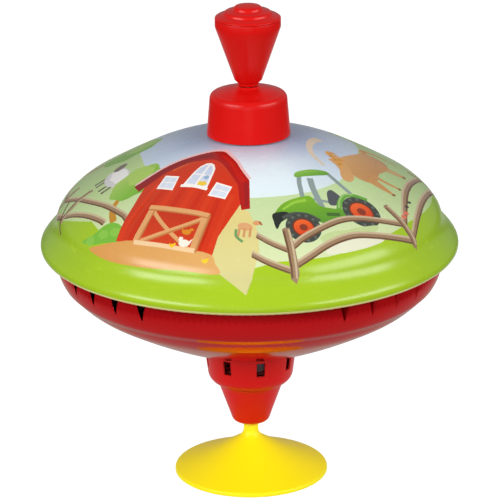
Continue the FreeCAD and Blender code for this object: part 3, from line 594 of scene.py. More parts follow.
*bowl_run, (bead_radius, bead_height, _) = arc_corners(*BOWL_HOLE, BOWL_SLOPE, BOWL_ARCS)
DOME = Pressing([
    (*DOME_HOLE, -DOME_ARCS[0][0]), *arc_corners(*DOME_HOLE, DOME_SLOPE, DOME_ARCS),
    (*RIM, "smooth"), (92.0, 109.5), (WALL_RADIUS + 0.2, 109.0),
], DOME_HOLE[0], 1)
BOWL = Pressing([
    (*BOWL_HOLE, BOWL_ARCS[0][0]), *bowl_run, (bead_radius, bead_height),
    (bead_radius + 1.5, bead_height + 1.0, 20.0), (86.5, 98.5, "smooth"),
    (WALL_RADIUS, WALL_LOW), (WALL_RADIUS, WALL_HIGH),
], BOWL_HOLE[0], -1)
LIP = DOME.edge - LIP_WIDTH
print("blanks", round(2 * DOME.edge, 1), "and", round(2 * BOWL.edge, 1), "mm across")


def ring_of(distance, count, shift=0.0):
    """Evenly spaced points round a circle on the blank."""
    angles = (np.arange(count) + shift) * 2 * math.pi / count
    return [(distance * math.sin(a), -distance * math.cos(a)) for a in angles]


def cut_blank(outlines, rings, hole, edge, count):
    """Cut the blank along the outlines: flat points, triangles and the topmost outline of each."""
    coords, loops = [], []
    for loop in [ring_of(edge, count)] + outlines + [ring_of(hole, count)]:
        loops.append(list(range(len(coords), len(coords) + len(loop))))
        coords.extend(loop)
    for i, (distance, number) in enumerate(rings):
        coords.extend(ring_of(distance, number, 0.5 * (i % 2)))
    cut = delaunay_2d_cdt([Vector(c) for c in coords], [], loops, 0, 1e-5)
    flat, triangles = np.array([tuple(v) for v in cut[0]]), []
    top = []
    for face, origin in zip(cut[2], cut[5]):
        highest = max(origin) if origin else -1
        if highest not in (-1, len(loops) - 1):
            triangles.append(list(face))
            top.append(highest)
    used = sorted({v for face in triangles for v in face})
    renumber = {v: i for i, v in enumerate(used)}
    return flat[used], [[renumber[v] for v in face] for face in triangles], top


# %% [markdown]
# ## Drawing kit for the print
# Places on the blank are given as (angle from the front in degrees, distance from the middle in
# millimetres), so an upright thing in the picture runs along the distance. Every shape has an outline
# and a colour, which may fade between two colours along one of the two directions.
# %%
drawing = []


def spot(angle, distance):
    """A place on the blank as x and y."""
    a = math.radians(angle)
    return np.array([distance * math.sin(a), -distance * math.cos(a)])


def fade(first, second, low, high, sideways=False):
    """A colour that changes along the distance, or along the angle if sideways."""
    def colour(angle, distance):
        t = np.clip(((angle if sideways else distance) - low) / (high - low), 0, 1)[:, None]
        return np.array(first, float) * (1 - t) + np.array(second, float) * t
    return colour


def add(flat_points, colour):
    """Add one closed outline, given in x and y, to the drawing."""
    if not callable(colour):
        colour = fade(colour, colour, 0, 1)
    loop = [tuple(p) for p in flat_points]
    around = sum(a[0] * b[1] - a[1] * b[0] for a, b in zip(loop, loop[1:] + loop[:1]))
    drawing.append((loop if around > 0 else loop[::-1], colour))


def curve(points, closed=False, steps=5):
    """A smooth line through points (Catmull-Rom)."""
    points = [np.array(p, float) for p in points]
    if closed:
        run = [points[-1]] + points + points[:2]
    else:
        run = [2 * points[0] - points[1]] + points + [2 * points[-1] - points[-2]]
    made = []
    for a, b, c, d in zip(run, run[1:], run[2:], run[3:]):
        for k in range(steps):
            t = k / steps
            made.append(0.5 * (2 * b + (c - a) * t + (2 * a - 5 * b + 4 * c - d) * t * t
                               + (3 * b - a - 3 * c + d) * t ** 3))
    return made if closed else made + [points[-1]]


def area(points, colour, smooth=False):
    """A filled shape given by (angle, distance) corners."""
    points = curve(points, True, 4) if smooth else points
    add([spot(*p) for p in points], colour)


def stroke(points, width, colour, smooth=True):
    """A brush stroke through (angle, distance) points; width may be (start, end)."""
    points = curve(points, steps=4) if smooth and len(points) > 2 else [np.array(p, float) for p in points]
    line = [spot(*p) for p in points]
    ends = width if isinstance(width, tuple) else (width, width)
    left, right = [], []
    for i, here in enumerate(line):
        run = line[min(i + 1, len(line) - 1)] - line[max(i - 1, 0)]
        side = np.array([-run[1], run[0]]) / np.hypot(*run)
        half = (ends[0] + (ends[1] - ends[0]) * i / (len(line) - 1)) / 2
        left.append(here + side * half)
        right.append(here - side * half)
    add(left + right[::-1], colour)


def blob(angle, distance, across, along, colour, tilt=0.0, lobes=0, depth=0.12, count=28):
    """An ellipse in millimetres, or a leafy mass with lobes round it."""
    centre = spot(angle, distance)
    turn = math.radians(angle + tilt)
    made = []
    for k in range(count):
        t = 2 * math.pi * k / count
        swell = 1 + depth * math.cos(lobes * t) if lobes else 1.0
        x, y = across * swell * math.cos(t), along * swell * math.sin(t)
        made.append(centre + np.array([x * math.cos(turn) - y * math.sin(turn),
                                       x * math.sin(turn) + y * math.cos(turn)]))
    add(made, colour)


# %% [markdown]
# ## The farm scene
# Sky, hill and meadow run right round the dome. The front has a red barn, a tractor, fences, a horse
# and a few small animals; the back carries on in the same manner. All of it is made of plain shapes in a
# picture-book style.
# %%
def band(levels, colour, count=180):
    """Everything nearer the middle than a distance that changes round the blank."""
    angles, distances = zip(*levels)
    made = []
    for k in range(count):
        a = -180 + 360 * k / count
        made.append(spot(a, np.interp(a, angles, distances, period=360)))
    add(made, colour)


def sky_and_side_shade(angle, distance):
    """Mauve round the cap, blue-white lower down, with painted shade that makes it duller to the sides."""
    stops = (20, 27, 36, 46, 58)
    middle = np.array([(190, 196, 220), (210, 219, 236), (228, 241, 252), (231, 245, 254), (230, 246, 250)])
    edge = np.array([(160, 178, 208), (164, 184, 214), (184, 200, 224), (196, 212, 232), (206, 222, 232)])
    side_shade = np.clip((np.abs(angle) - 20) / 50, 0, 1)[:, None]
    front = np.stack([np.interp(distance, stops, middle[:, k]) for k in range(3)], 1)
    side = np.stack([np.interp(distance, stops, edge[:, k]) for k in range(3)], 1)
    return front * (1 - side_shade) + side * side_shade


def meadow_and_side_shade(angle, distance):
    """Fresh green, with painted shade that makes it duller to the sides."""
    side_shade = np.clip((np.abs(angle) - 45) / 50, 0, 1)[:, None]
    return np.array([168, 202, 28.0]) * (1 - side_shade) + np.array([146, 186, 40.0]) * side_shade


def hill_and_side_shade(angle, distance):
    """Pale green that lightens towards the meadow, with painted shade that darkens it to the sides."""
    t = np.clip((distance - 55) / 35, 0, 1)[:, None]
    side_shade = np.clip((np.abs(angle) - 45) / 40, 0, 1)[:, None]
    colour = np.array([198, 222, 164.0]) * (1 - t) + np.array([216, 228, 178.0]) * t
    return colour * (1 - side_shade) + np.array([180, 208, 140.0]) * side_shade


# A pale yellow ring on the curled underside of the rim: painted reflection of the white floor.
band([(0, LIP + 0.9)], (246, 240, 150))
band([(0, LIP - 3.0)], meadow_and_side_shade)
band([(-180, 92), (-120, 90), (-80, 97), (-70, 92), (-60, 87), (-45, 92), (-20, 98), (0, 96), (8, 93),
      (25, 93), (36, 91), (60, 88.5), (80, 90), (130, 94)], hill_and_side_shade)
band([(-180, 54), (-120, 52), (-80, 50), (-55, 52), (0, 57.5), (30, 57), (50, 55), (80, 50), (120, 53)],
     sky_and_side_shade)

WOOD, WOOD_LIGHT, WOOD_DARK = (158, 128, 98), (202, 180, 148), (112, 78, 56)


def rail(points, width=2.9):
    """A fence rail: body, lit upper side and dark lower side."""
    stroke([(a, v + width * 0.32) for a, v in points], width * 0.75, WOOD_DARK)
    stroke(points, width * 0.8, WOOD)
    stroke([(a, v - width * 0.26) for a, v in points], width * 0.34, WOOD_LIGHT)


def post(angle, top, foot, width=3.4):
    """A fence post."""
    lean = math.degrees(width / top) / 2
    area([(angle - lean, top + 0.8), (angle - lean * 0.4, top), (angle + lean * 0.8, top + 0.3),
          (angle + lean, foot - 3), (angle + lean * 0.3, foot + 0.8), (angle - lean * 0.7, foot - 1.5)], WOOD)
    stroke([(angle + lean * 0.55, top + 1), (angle + lean * 0.45, foot - 1.5)], 1.0, WOOD_LIGHT)
    stroke([(angle - lean * 0.7, top + 1.5), (angle - lean * 0.4, foot - 2)], 0.9, WOOD_DARK)


def tree(angle, top, foot, across, lit, shaded, trunk, trunk_foot):
    """A round tree: trunk, leafy mass, light on its upper side."""
    spread = math.degrees(across / foot)
    leaves = fade(lit, shaded, angle - spread, angle + spread, True)
    middle, half = (top + foot) / 2, (foot - top) / 2
    stroke([(angle, middle), (trunk_foot[0] * 0.4 + angle * 0.6, foot + 2), trunk_foot], (2.2, 3.6), trunk)
    blob(angle, middle, across, half, leaves, lobes=7, depth=0.05)
    blob(angle - 2, middle - half * 0.3, across * 0.62, half * 0.5, lit, lobes=5, depth=0.08)


def tuft(angle, distance, height, colour, count=4):
    """Blades of grass."""
    for k in range(count):
        lean = (k - (count - 1) / 2) * 1.1
        stroke([(angle + lean * 0.4, distance), (angle + lean * 1.2, distance - height)], (0.8, 0.2), colour)


def hen(angle, distance, size, colour, facing=1):
    """A small plain hen."""
    step = math.degrees(size / distance) * facing
    blob(angle, distance, size * 1.05, size * 0.75, colour)
    blob(angle + step * 0.9, distance - size * 0.8, size * 0.45, size * 0.5, colour)
    area([(angle - step * 0.7, distance - size * 0.3), (angle - step * 1.5, distance - size * 1.1),
          (angle - step * 1.1, distance + size * 0.3)], colour)
    area([(angle + step * 1.3, distance - size * 0.9), (angle + step * 1.75, distance - size * 0.7),
          (angle + step * 1.3, distance - size * 0.6)], (228, 140, 40))
    area([(angle + step * 0.7, distance - size * 1.2), (angle + step * 0.9, distance - size * 1.65),
          (angle + step * 1.1, distance - size * 1.2)], (212, 40, 34))


def sheep(angle, distance, size, facing=1):
    """A plain woolly sheep."""
    step = math.degrees(size / distance) * facing
    for k in (-0.6, -0.25, 0.3, 0.6):
        stroke([(angle + step * k, distance), (angle + step * k, distance + size * 1.1)], size * 0.16,
               (96, 84, 78))
    blob(angle, distance, size, size * 0.66, (214, 212, 214), lobes=9, depth=0.06)
    blob(angle, distance - size * 0.14, size * 0.84, size * 0.46, (240, 238, 236), lobes=7, depth=0.08)
    blob(angle + step * 1.0, distance - size * 0.35, size * 0.3, size * 0.38, (120, 104, 96), tilt=20)


# left of the barn: tree, sheep, fence and bush
sheep(-76, 64, 9.5, -1)
tree(-61.5, 46.5, 73.5, 10.5, (170, 204, 98), (120, 182, 54), (196, 140, 42), (-50.5, 83))
rail([(-88, 90), (-80, 84), (-70, 79.5), (-60, 76.8), (-50, 77.2), (-46, 79)])
rail([(-88, 99), (-80, 95), (-72, 89), (-64, 85.3), (-57, 84.2), (-54, 84.6)])
post(-78, 76, 99, 3.6)
stroke([(-84, 88), (-80, 95), (-77, 99), (-74, 101)], (1.8, 0.8), WOOD_DARK)
area([(-58.5, 97), (-55, 92), (-53, 86), (-50, 83), (-46, 83.5), (-43, 87), (-42, 91), (-48, 93), (-53, 96)],
     (122, 188, 60), True)
for a, v in ((-55, 95), (-51, 90), (-47, 87)):
    blob(a, v, 3.2, 2.2, (138, 198, 74), lobes=5, depth=0.1, count=15)

# the ground in front of the barn
area([(-8, 60), (-3, 63.5), (0, 66), (3, 78), (3, 88), (1.5, 95), (0.5, 101), (-1, 107.5), (-4, 103.5),
      (-8, 99), (-13, 94.5), (-15, 90), (-11, 75)], fade((228, 212, 138), (216, 210, 146), 70, 105))

# barn
area([(-51, 47), (-53, 60), (-44.5, 91), (-12.8, 91.5), (-3, 60), (-3, 50), (-12, 38), (-28, 29), (-44, 36)],
     fade((204, 56, 22), (216, 50, 10), -50, -5, True))
for k in range(9):
    a = -49 + 5.0 * k
    low = -28.6 + (a + 28.6) * 0.78
    eave = 52 if 0 < k < 8 else 56
    shade = (204, 44, 10) if k % 2 else (218, 58, 18)
    area([(a, eave), (a + 2.5, eave), (low + 2.0, 90.6), (low, 90.6)], shade)
area([(-54, 98.5), (-50, 95), (-44, 91), (-36, 88.2), (-14, 88.8), (-10, 94), (-9, 98.5), (-20, 98),
      (-34, 99.5), (-46, 100.2)], fade((222, 158, 84), (225, 170, 100), -50, -15, True), True)
stroke([(-49, 46), (-44, 37.5), (-36, 32.5), (-28, 30.5), (-20, 33), (-12, 40), (-6, 48)], 3.6,
       fade((214, 90, 40), (206, 52, 26), -50, -5, True))
outer = [(-58.4, 62.5), (-57, 55), (-55.2, 47), (-52, 40), (-47, 34), (-40, 28.7), (-33, 26), (-25, 25.3),
         (-18, 28), (-10, 33), (-4, 40.5), (0.2, 46.5)]
inner = [(-6, 49), (-12, 41.5), (-20, 35.2), (-28, 33), (-36, 35), (-44, 39.5), (-50, 48.5), (-51.5, 55)]
stroke([(a, v - 0.8) for a, v in outer], 2.2, (240, 196, 198))
area(curve(outer, steps=3) + [(0.3, 64), (-3.2, 64.8), (-4.4, 58)] + curve(inner, steps=3) + [(-53.2, 63.8)],
     fade((146, 26, 30), (180, 20, 12), -58, -10, True))
stroke([(-56, 58), (-53, 47), (-47.5, 38), (-40, 32.5), (-32, 29.5)], (1.2, 2.6), (136, 24, 32))
stroke([(-24, 28.8), (-16, 32), (-9, 38.6), (-3, 47.5)], (1.4, 3.0), (196, 28, 16))
stroke([(-1.6, 48), (-1.2, 62.5)], 1.6, (160, 22, 24))

PANE, FRAME = fade((196, 208, 236), (222, 230, 242), 35, 60), (250, 246, 242)


def window(corners, columns, rows):
    """A four-cornered window with glazing bars."""
    area(corners, FRAME)
    nw, ne, se, sw = (np.array(c, float) for c in corners)

    def inside(x, y):
        return (nw * (1 - x) + ne * x) * (1 - y) + (sw * (1 - x) + se * x) * y

    for i in range(columns):
        for j in range(rows):
            x0, x1 = 0.1 + i * 0.82 / columns, 0.05 + (i + 1) * 0.86 / columns
            y0, y1 = 0.12 + j * 0.8 / rows, 0.04 + (j + 1) * 0.84 / rows
            area([inside(x0, y0), inside(x1, y0), inside(x1, y1), inside(x0, y1)], PANE)


window([(-48.6, 50.4), (-40.4, 48.6), (-37.6, 57.4), (-46.2, 59)], 2, 2)
window([(-17.6, 48.4), (-8.6, 50.8), (-10.8, 58.6), (-19.2, 57.2)], 2, 2)
area([(-34.6, 53.5), (-34.3, 44), (-33.4, 39.5), (-31, 36.6), (-28, 35.8), (-25, 36.6), (-22.4, 39.5),
      (-21.6, 44), (-21.2, 53.3)], FRAME)
area([(-33.4, 51.6), (-33.2, 44), (-32.4, 40.4), (-30.6, 38.2), (-28.6, 37.6), (-28.5, 51.6)], PANE)
area([(-27.3, 51.6), (-27.3, 37.6), (-25.4, 38.2), (-23.6, 40.4), (-22.8, 44), (-22.5, 51.6)], PANE)
stroke([(-33.4, 45), (-22.6, 45)], 0.8, FRAME)
stroke([(-35.4, 53.7), (-28, 52.6), (-20.8, 53.4)], 1.6, FRAME)
blob(-25, 50.2, 2.3, 1.5, (240, 204, 64), lobes=5, depth=0.15, count=20)
blob(-24.6, 46, 1.2, 1.4, (150, 180, 210), count=10)

BEAM, BEAM_DARK = (226, 166, 108), (196, 124, 70)
area([(-40.6, 68.6), (-16.4, 68.4), (-17.4, 88.6), (-38.2, 89.2)], fade((196, 50, 18), (214, 66, 26), 68, 90))
for line, width in (([(-39, 70.5), (-28.5, 79.5), (-19, 88)], 2.0),
                    ([(-17.4, 70.5), (-27, 79), (-36.8, 88.4)], 2.0),
                    ([(-39.8, 69), (-37.6, 89)], 3.3), ([(-16.6, 68.6), (-17.8, 88.6)], 3.3),
                    ([(-41.4, 69.4), (-35, 68.2), (-28, 67.7), (-21, 67.8), (-15.6, 68.8)], 2.8)):
    stroke([(a + 0.5, v + 0.6) for a, v in line], width, BEAM_DARK)
    stroke(line, width * 0.86, BEAM)
# A pale stroke along the top of the path, under the door: painted highlight, a glare.
stroke([(-38, 89), (-28, 88), (-17, 88.6)], 2.2, (244, 206, 160))
hen(-21, 85.4, 2.5, (244, 238, 224), -1)
hen(-21.4, 79.5, 2.0, (222, 140, 34))
hen(-24.6, 87.3, 1.2, (244, 198, 40))
hen(-13.2, 93, 1.3, (246, 206, 50))

# a small tan pup on the straw
blob(-1.5, 74.5, 3.6, 2.2, (226, 168, 116), tilt=-15)
blob(2.6, 72.5, 1.7, 1.4, (222, 158, 104))
stroke([(3.6, 71.6), (4.4, 73.8)], 1.0, (176, 104, 62))
for k in (-3.4, -1.6, 0.4):
    stroke([(k, 75.5), (k - 0.4, 80.5)], 1.1, (214, 150, 100))
stroke([(-4.6, 76), (-4.4, 80), (-2.2, 83)], 1.3, (112, 158, 96))

# tractor
TRACTOR, TRACTOR_DARK, CAB = (124, 180, 40), (92, 152, 48), (142, 160, 158)


def wheel(angle, distance, radius, hub):
    """A tyre with an orange hub."""
    blob(angle, distance, radius, radius, (66, 72, 66), count=36)
    treads, tread, reach = 12, radius * 0.1, radius * 0.86
    for k in range(treads):
        t = 2 * math.pi * k / treads
        side = math.degrees(reach * math.sin(t) / distance)
        blob(angle + side, distance + reach * math.cos(t), tread, tread, (98, 104, 96), count=6)
    blob(angle, distance, hub * 1.15, hub * 1.15, (120, 52, 34), count=24)
    paint = fade((240, 104, 44), (214, 66, 26), distance - hub, distance + hub)
    blob(angle, distance, hub, hub, paint, count=24)
    blob(angle, distance, hub * 0.42, hub * 0.42, (140, 56, 34), count=12)


stroke([(24, 60), (26.4, 51), (29, 46.2)], 2.2, CAB, False)
stroke([(29.8, 68), (31.5, 56), (34, 49)], 3.0, CAB)
stroke([(46.4, 49), (46.6, 56), (47.2, 64)], 2.2, CAB)
stroke([(24.5, 60.5), (29, 62), (36, 66)], 1.6, CAB)
area([(34, 67), (36, 60.5), (38.5, 58.5), (40.5, 60), (41, 67)], (84, 88, 92), True)
area([(26.2, 46.6), (28, 43.9), (33, 43.2), (40, 44), (46, 46.8), (47.4, 49.4), (44, 49.6), (38, 48.2),
      (31, 47.2)], fade((142, 196, 76), (96, 154, 50), 43, 50), True)
area([(9.6, 72), (9.8, 67.6), (13.5, 62.5), (19, 59.8), (26.4, 59), (28.4, 61), (29.5, 66), (36, 70),
      (42, 71.5), (40, 76), (28, 76.5), (24, 73), (19, 69),
      (13, 71)], fade(TRACTOR, TRACTOR_DARK, 60, 76), True)
stroke([(13.5, 65.4), (19, 62), (25, 61.4)], (1.0, 1.8), (152, 204, 66))
area([(9.2, 67.4), (14.4, 66.8), (16, 69.6), (11.8, 72.5), (9.6, 76.5), (8.9, 72)], (40, 46, 42), True)
stroke([(12.6, 70.4), (17, 68.4), (22.5, 70), (26, 74.5)], 2.0, (78, 84, 78))
stroke([(30, 71.5), (35, 73.2)], 2.0, (70, 110, 46))
wheel(19, 76.8, 8.4, 4.6)
wheel(44.3, 74.8, 9.4, 5.4)
stroke([(36, 70.5), (39, 66.4), (43.5, 64), (48, 65.6), (51.6, 70)], (2.6, 2.0), (104, 168, 62))
stroke([(36.5, 69.5), (39.6, 65.4), (43.5, 63.2), (47.6, 64.6)], 1.0, (150, 196, 110))
area([(23, 84), (28, 81.5), (33, 82), (40, 82.5), (46, 84.5), (40, 88), (28, 89)], (196, 214, 150), True)

# horse
HORSE, MANE = (216, 164, 104), (206, 140, 52)
stroke([(50.5, 44), (54, 35.5), (62, 31), (72, 29), (82, 29.5), (90, 32)], (1.5, 5), (222, 206, 184))
area([(60, 56), (62, 48), (68, 44.5), (76, 46), (86, 50), (94, 54), (94, 64), (86, 66), (76, 63), (68, 64.5),
      (63, 63)], fade(HORSE, (196, 140, 84), 46, 66), True)
stroke([(54.5, 55.5), (58, 52.5), (62, 48), (65, 43)], (4.2, 8.5), HORSE)
area([(51.6, 54.6), (54, 51.4), (58, 49.6), (61, 52.5), (59, 56.5), (55, 58), (52.2, 57)], HORSE, True)
stroke([(58.5, 49.8), (59.4, 46.2)], (1.8, 0.5), HORSE)
for k in range(7):
    t = k / 6
    stroke([(60 + 5 * t, 49 - 9 * t), (64 + 4.5 * t, 46 - 8 * t), (67 + 5 * t, 48 - 7 * t)], (2.2, 0.6),
           MANE if k % 2 else (224, 164, 74))
for a, reach in ((64.5, 2), (67.5, -1), (71, 2.5), (84, 3), (88, 0)):
    stroke([(a, 61), (a + reach * 0.3, 67), (a + reach, 74)], (3.2, 1.6), (208, 150, 88))
    blob(a + reach, 74.4, 1.3, 0.9, (150, 96, 52), count=10)
stroke([(93, 53), (98, 55), (100, 64), (98, 72)], (4.0, 1.0), MANE)

# fences in front of the tractor and of the horse
# A pale near-white patch under the rails in front of the tractor: painted highlight, a glare.
area([(24, 92), (26, 87.5), (33, 86.2), (40, 88), (45, 91.5), (36, 92.6)], (232, 232, 206), True)
rail([(2.5, 79), (7, 83.5), (12, 87.4)])
rail([(0.8, 88.6), (6, 93), (12, 97)])
rail([(12.5, 87), (17, 82.5), (23, 79), (29, 76.6), (35, 75.8), (41, 77.4), (48, 81.6), (56, 87.4)], 3.2)
rail([(12.5, 95.4), (18, 91.4), (24, 87.4), (30, 85.3), (36, 85.2), (43, 88), (50, 92), (56, 96)], 3.2)
rail([(57, 88), (62, 83), (69, 78.6), (76, 76.6), (84, 77), (92, 80), (98, 84)], 3.2)
rail([(57, 95), (63, 90), (69, 87), (76, 85.4), (84, 86), (92, 89), (98, 93)], 3.2)
post(12.7, 76, 102.5, 4.0)
post(56.6, 76, 100.5, 4.0)
post(99, 78, 101, 4.0)
for a, v in ((59.5, 85.5), (62, 84.6)):
    blob(a, v, 1.9, 1.1, (226, 116, 88), tilt=-20, count=12)
for a, v in ((65.5, 82.4), (69, 81.6)):
    blob(a, v, 1.5, 0.8, (66, 58, 52), tilt=-20, count=10)

# behind: pond, hay bales, trees, sheep and more fence
blob(150, 78, 17, 7.5, fade((160, 196, 222), (206, 226, 238), 72, 86))
blob(150, 77, 12, 4.0, (222, 236, 244))
tree(122, 44, 74, 11.5, (150, 196, 86), (112, 172, 58), (178, 124, 60), (123, 86))
tree(-104, 42, 72, 12, (164, 204, 92), (118, 178, 58), (178, 124, 60), (-104, 84))
tree(-132, 48, 74, 9.5, (150, 196, 86), (108, 168, 60), (170, 116, 60), (-131, 84))
for a, v, r in ((176, 84, 7.5), (-172, 86, 6.5), (-161, 83, 7)):
    blob(a, v, r, r, (226, 196, 110), count=30)
    for k in (0.75, 0.5, 0.25):
        blob(a, v, r * k, r * k, (240, 214, 136) if k != 0.5 else (210, 176, 92), count=24)
sheep(135, 90, 7.5)
sheep(-118, 88, 7, -1)
sheep(-147, 80, 6)
rail([(104, 93), (114, 90), (124, 92), (134, 98)])
rail([(-140, 97), (-128, 93), (-114, 93), (-100, 96), (-88, 99)])
rail([(-140, 89), (-128, 85), (-114, 85), (-100, 88), (-88, 91)])
for a in (-139, -114, -89):
    post(a, 82, 102)

# blades of grass over the meadow
rng = random.Random(7)
for k in range(60):
    a = rng.uniform(-180, 180)
    v = rng.uniform(101, 109)
    shade = (160, 197, 25) if k % 2 else (176, 207, 38)
    tuft(a, v, rng.uniform(1.2, 2.6), shade, 3)
print(len(drawing), "shapes in the drawing")

# %% [markdown]
# ## Printed dome
# The blank is cut along the drawing, pressed over the dome's profile with its rolled rim, coloured, and
# given the thickness of tinplate with a plain inner side.
# %%
ROUND = 180
dome_rings = [(v, ROUND // 2) for v in np.arange(15, 58, 3.5)] + [(v, ROUND) for v in np.arange(58, 106, 3.0)]
dome_rings += [(v, ROUND) for v in np.arange(106, 118.6, 0.8)] + [(120.5, ROUND), (122.4, ROUND)]
flat, triangles, top = cut_blank([loop for loop, _ in drawing], dome_rings, DOME_HOLE[0], DOME.edge,
                                 ROUND)
places, facing = DOME.press(flat)
skin = thickened(places, facing, triangles, TIN)
dome = piece("tin_dome", skin, "spinner", [finishes["printed_tin"], finishes["bare_tin"]],
             ["upper_shell"], skin[3])

corner_angle = np.degrees(np.arctan2(flat[:, 0], -flat[:, 1]))
corner_distance = np.hypot(*flat.T)
order = np.array(triangles).ravel()
shape_of = np.repeat(np.array(top), 3)
colours = np.ones((len(dome.data.loops), 4))
front = np.zeros((len(order), 3))
for index in sorted(set(top)):
    mine = shape_of == index
    paint = meadow_and_side_shade if index == 0 else drawing[index - 1][1]
    front[mine] = paint(corner_angle[order[mine]], corner_distance[order[mine]])
colours[:len(order), :3] = linear(front)
layer = dome.data.color_attributes.new("print", "FLOAT_COLOR", "CORNER")
layer.data.foreach_set("color", colours.ravel())
bake = dome.data.uv_layers.new(name="OFBake")
corner_flat = np.array([l.vertex_index for l in dome.data.loops]) % len(flat)
uv = flat[corner_flat] / (2.04 * DOME.edge) + 0.5
bake.data.foreach_set("uv", uv.ravel())

# %% [markdown]
# ## Louvred bowl
# The lower shell is pressed from a plain red blank. Its wall has sixteen humming slots, each a narrow
# triangle cut along one side and pushed inwards about the other. The tips are 1.8 mm lower here than on
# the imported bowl, so that the slots look as long as they should under the rim.
# %%
SLOT_TIP, SLOT_HEAD, SLOT_HALF_WIDTH = 99.4, 109.4, 2.8
SLOT_TURN, SLOT_PITCH = -47.3, 9.75
LOUVRE_DEPTH = 1.4
tip, head = BOWL.distance_at(SLOT_TIP), BOWL.distance_at(SLOT_HEAD)
slot_angles = [SLOT_TURN + 90 * g + SLOT_PITCH * (k - 1.5) for g in range(4) for k in range(4)]
half_width = math.degrees(SLOT_HALF_WIDTH / WALL_RADIUS)
louvres = []
for a in slot_angles:
    cut_side = [(a - half_width * t, tip + (head - tip) * t) for t in np.linspace(0, 1, 5)]
    fold_side = [(a + half_width * t, tip + (head - tip) * t) for t in np.linspace(1, 0.25, 4)]
    louvres.append([spot(*p) for p in cut_side + fold_side])
bowl_rings = [(v, 144) for v in np.arange(22, 95, 3.0)]
bowl_rings += [(v, ROUND) for v in np.arange(95.5, BOWL.edge - 1, 1.6)]
flat_bowl, bowl_triangles, bowl_top = cut_blank([[tuple(p) for p in loop] for loop in louvres],
                                                bowl_rings, BOWL_HOLE[0], BOWL.edge, ROUND)
bowl_places, bowl_facing = BOWL.press(flat_bowl)
bowl_places, bowl_facing = list(bowl_places), list(bowl_facing)
for index, a in enumerate(slot_angles, start=1):
    mine = [i for i, t in enumerate(bowl_top) if t == index]
    fold_start, fold_end = spot(a, tip), spot(a + half_width, head)
    fold = (fold_end - fold_start) / np.hypot(*(fold_end - fold_start))
    copies = {}
    for i in mine:
        for corner, v in enumerate(bowl_triangles[i]):
            away = flat_bowl[v] - fold_start
            gap = abs(away[0] * fold[1] - away[1] * fold[0])
            if gap < 0.02:
                continue
            if v not in copies:
                copies[v] = len(bowl_places)
                bowl_places.append(bowl_places[v] - bowl_facing[v] * gap * LOUVRE_DEPTH)
                side = np.array([math.cos(math.radians(a)), math.sin(math.radians(a)), 0.0])
                tilted = bowl_facing[v] - side * LOUVRE_DEPTH
                bowl_facing.append(tilted / np.linalg.norm(tilted))
            bowl_triangles[i][corner] = copies[v]
bowl_faces = [face[::-1] for face in bowl_triangles]
print("bowl cut into", len(bowl_triangles), "triangles")
bowl_skin = thickened(np.array(bowl_places), np.array(bowl_facing), bowl_faces, TIN)
piece("tin_bowl", bowl_skin, "spinner", [finishes["red_tin"], finishes["bare_tin"]],
      ["lower_shell"], bowl_skin[3])

# %% [markdown]
# ## Studio
# A grey table that glows white round the top and fades away from it, two soft boxes raised on either
# side, which give the broad glares on the dome, and a weak low one in front for the rim.
# %%
floor_mesh = bpy.data.meshes.new("floor")
floor_mesh.from_pydata([(-4, -4, 0), (4, -4, 0), (4, 4, 0), (-4, 4, 0)], [], [(0, 1, 2, 3)])
floor = bpy.data.objects.new("floor", floor_mesh)
bpy.context.scene.collection.objects.link(floor)
# Painted light: the grey floor emits a white pool round the top that fades outwards, at full strength only to
# camera rays.
paper = finish("floor_paper_painted_glow", (80, 80, 80), 0.9, vary=0.01, bump=0.0, specular=0.0)
tree_of_paper = paper.node_tree
paper_shader = next(n for n in tree_of_paper.nodes if n.type == "BSDF_PRINCIPLED")
where = tree_of_paper.nodes.new("ShaderNodeTexCoord")
shifted = tree_of_paper.nodes.new("ShaderNodeMapping")
shifted.inputs["Location"].default_value = (0.0, -0.9, 0.0)
shifted.inputs["Scale"].default_value = (3.4, 0.95, 1.0)
pool = tree_of_paper.nodes.new("ShaderNodeVectorMath")
pool.operation = "LENGTH"
falloff = tree_of_paper.nodes.new("ShaderNodeMapRange")
falloff.interpolation_type = "SMOOTHSTEP"
for socket, value in (("From Min", 1.0), ("From Max", 1.4), ("To Min", 1.05), ("To Max", 0.06)):
    falloff.inputs[socket].default_value = value
tree_of_paper.links.new(where.outputs["Object"], shifted.inputs["Vector"])
tree_of_paper.links.new(shifted.outputs[0], pool.inputs[0])
tree_of_paper.links.new(pool.outputs["Value"], falloff.inputs["Value"])
path = tree_of_paper.nodes.new("ShaderNodeLightPath")
seen = tree_of_paper.nodes.new("ShaderNodeMapRange")
seen.inputs["To Min"].default_value = 0.4
seen.inputs["To Max"].default_value = 1.0
glow = tree_of_paper.nodes.new("ShaderNodeMath")
glow.operation = "MULTIPLY"
tree_of_paper.links.new(path.outputs["Is Camera Ray"], seen.inputs["Value"])
tree_of_paper.links.new(falloff.outputs[0], glow.inputs[0])
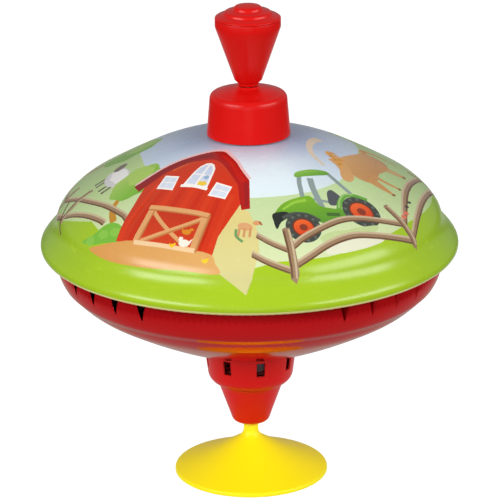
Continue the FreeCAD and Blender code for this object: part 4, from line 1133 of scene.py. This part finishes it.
tree_of_paper.links.new(seen.outputs[0], glow.inputs[1])
tree_of_paper.links.new(glow.outputs[0], paper_shader.inputs["Emission Strength"])
paper_shader.inputs["Emission Color"].default_value = (1.0, 1.0, 1.0, 1.0)
floor.data.materials.append(paper)

world = bpy.data.worlds.new("studio")
bpy.context.scene.world = world
world.use_nodes = True
background = next(n for n in world.node_tree.nodes if n.type == "BACKGROUND")
background.inputs["Color"].default_value = (1.0, 1.0, 1.0, 1.0)
background.inputs["Strength"].default_value = 0.31


def soft_box(name, azimuth, elevation, distance, width, height, power):
    """A rectangular lamp that faces the top, placed by its direction from it."""
    lamp = bpy.data.lights.new(name, "AREA")
    lamp.shape, lamp.size, lamp.size_y, lamp.energy = "RECTANGLE", width, height, power
    obj = bpy.data.objects.new(name, lamp)
    bpy.context.scene.collection.objects.link(obj)
    a, e = math.radians(azimuth), math.radians(elevation)
    way = Vector((math.sin(a) * math.cos(e), -math.cos(a) * math.cos(e), math.sin(e)))
    target = Vector((0, 0, 0.11))
    obj.location = target + way * distance
    obj.rotation_mode = "QUATERNION"
    obj.rotation_quaternion = way.to_track_quat("Z", "Y")
    return obj


soft_box("key_left", -48, 23, 1.5, 1.15, 0.55, 17.0)
soft_box("key_right", 61, 23, 1.5, 1.4, 0.55, 15.5)
soft_box("front_fill", 0, 4, 2.0, 1.0, 0.5, 2.4)

EYE, AIM = (0.0, -1.400, 0.5891), (0.0, 0.0, 0.1075)
ROLL = math.radians(-0.45)
camera_data = bpy.data.cameras.new("camera")
camera_data.sensor_width = 36.0
camera_data.lens = 233.6
camera_data.shift_x = 0.0008
camera_data.clip_end = 20.0
camera = bpy.data.objects.new("camera", camera_data)
bpy.context.scene.collection.objects.link(camera)
camera.location = EYE
aim = Vector(AIM) - camera.location
camera.rotation_mode = "QUATERNION"
camera.rotation_quaternion = aim.to_track_quat("-Z", "Y") @ Quaternion((0, 0, 1), ROLL)
bpy.context.scene.camera = camera
bpy.context.scene.view_settings.view_transform = "Standard"
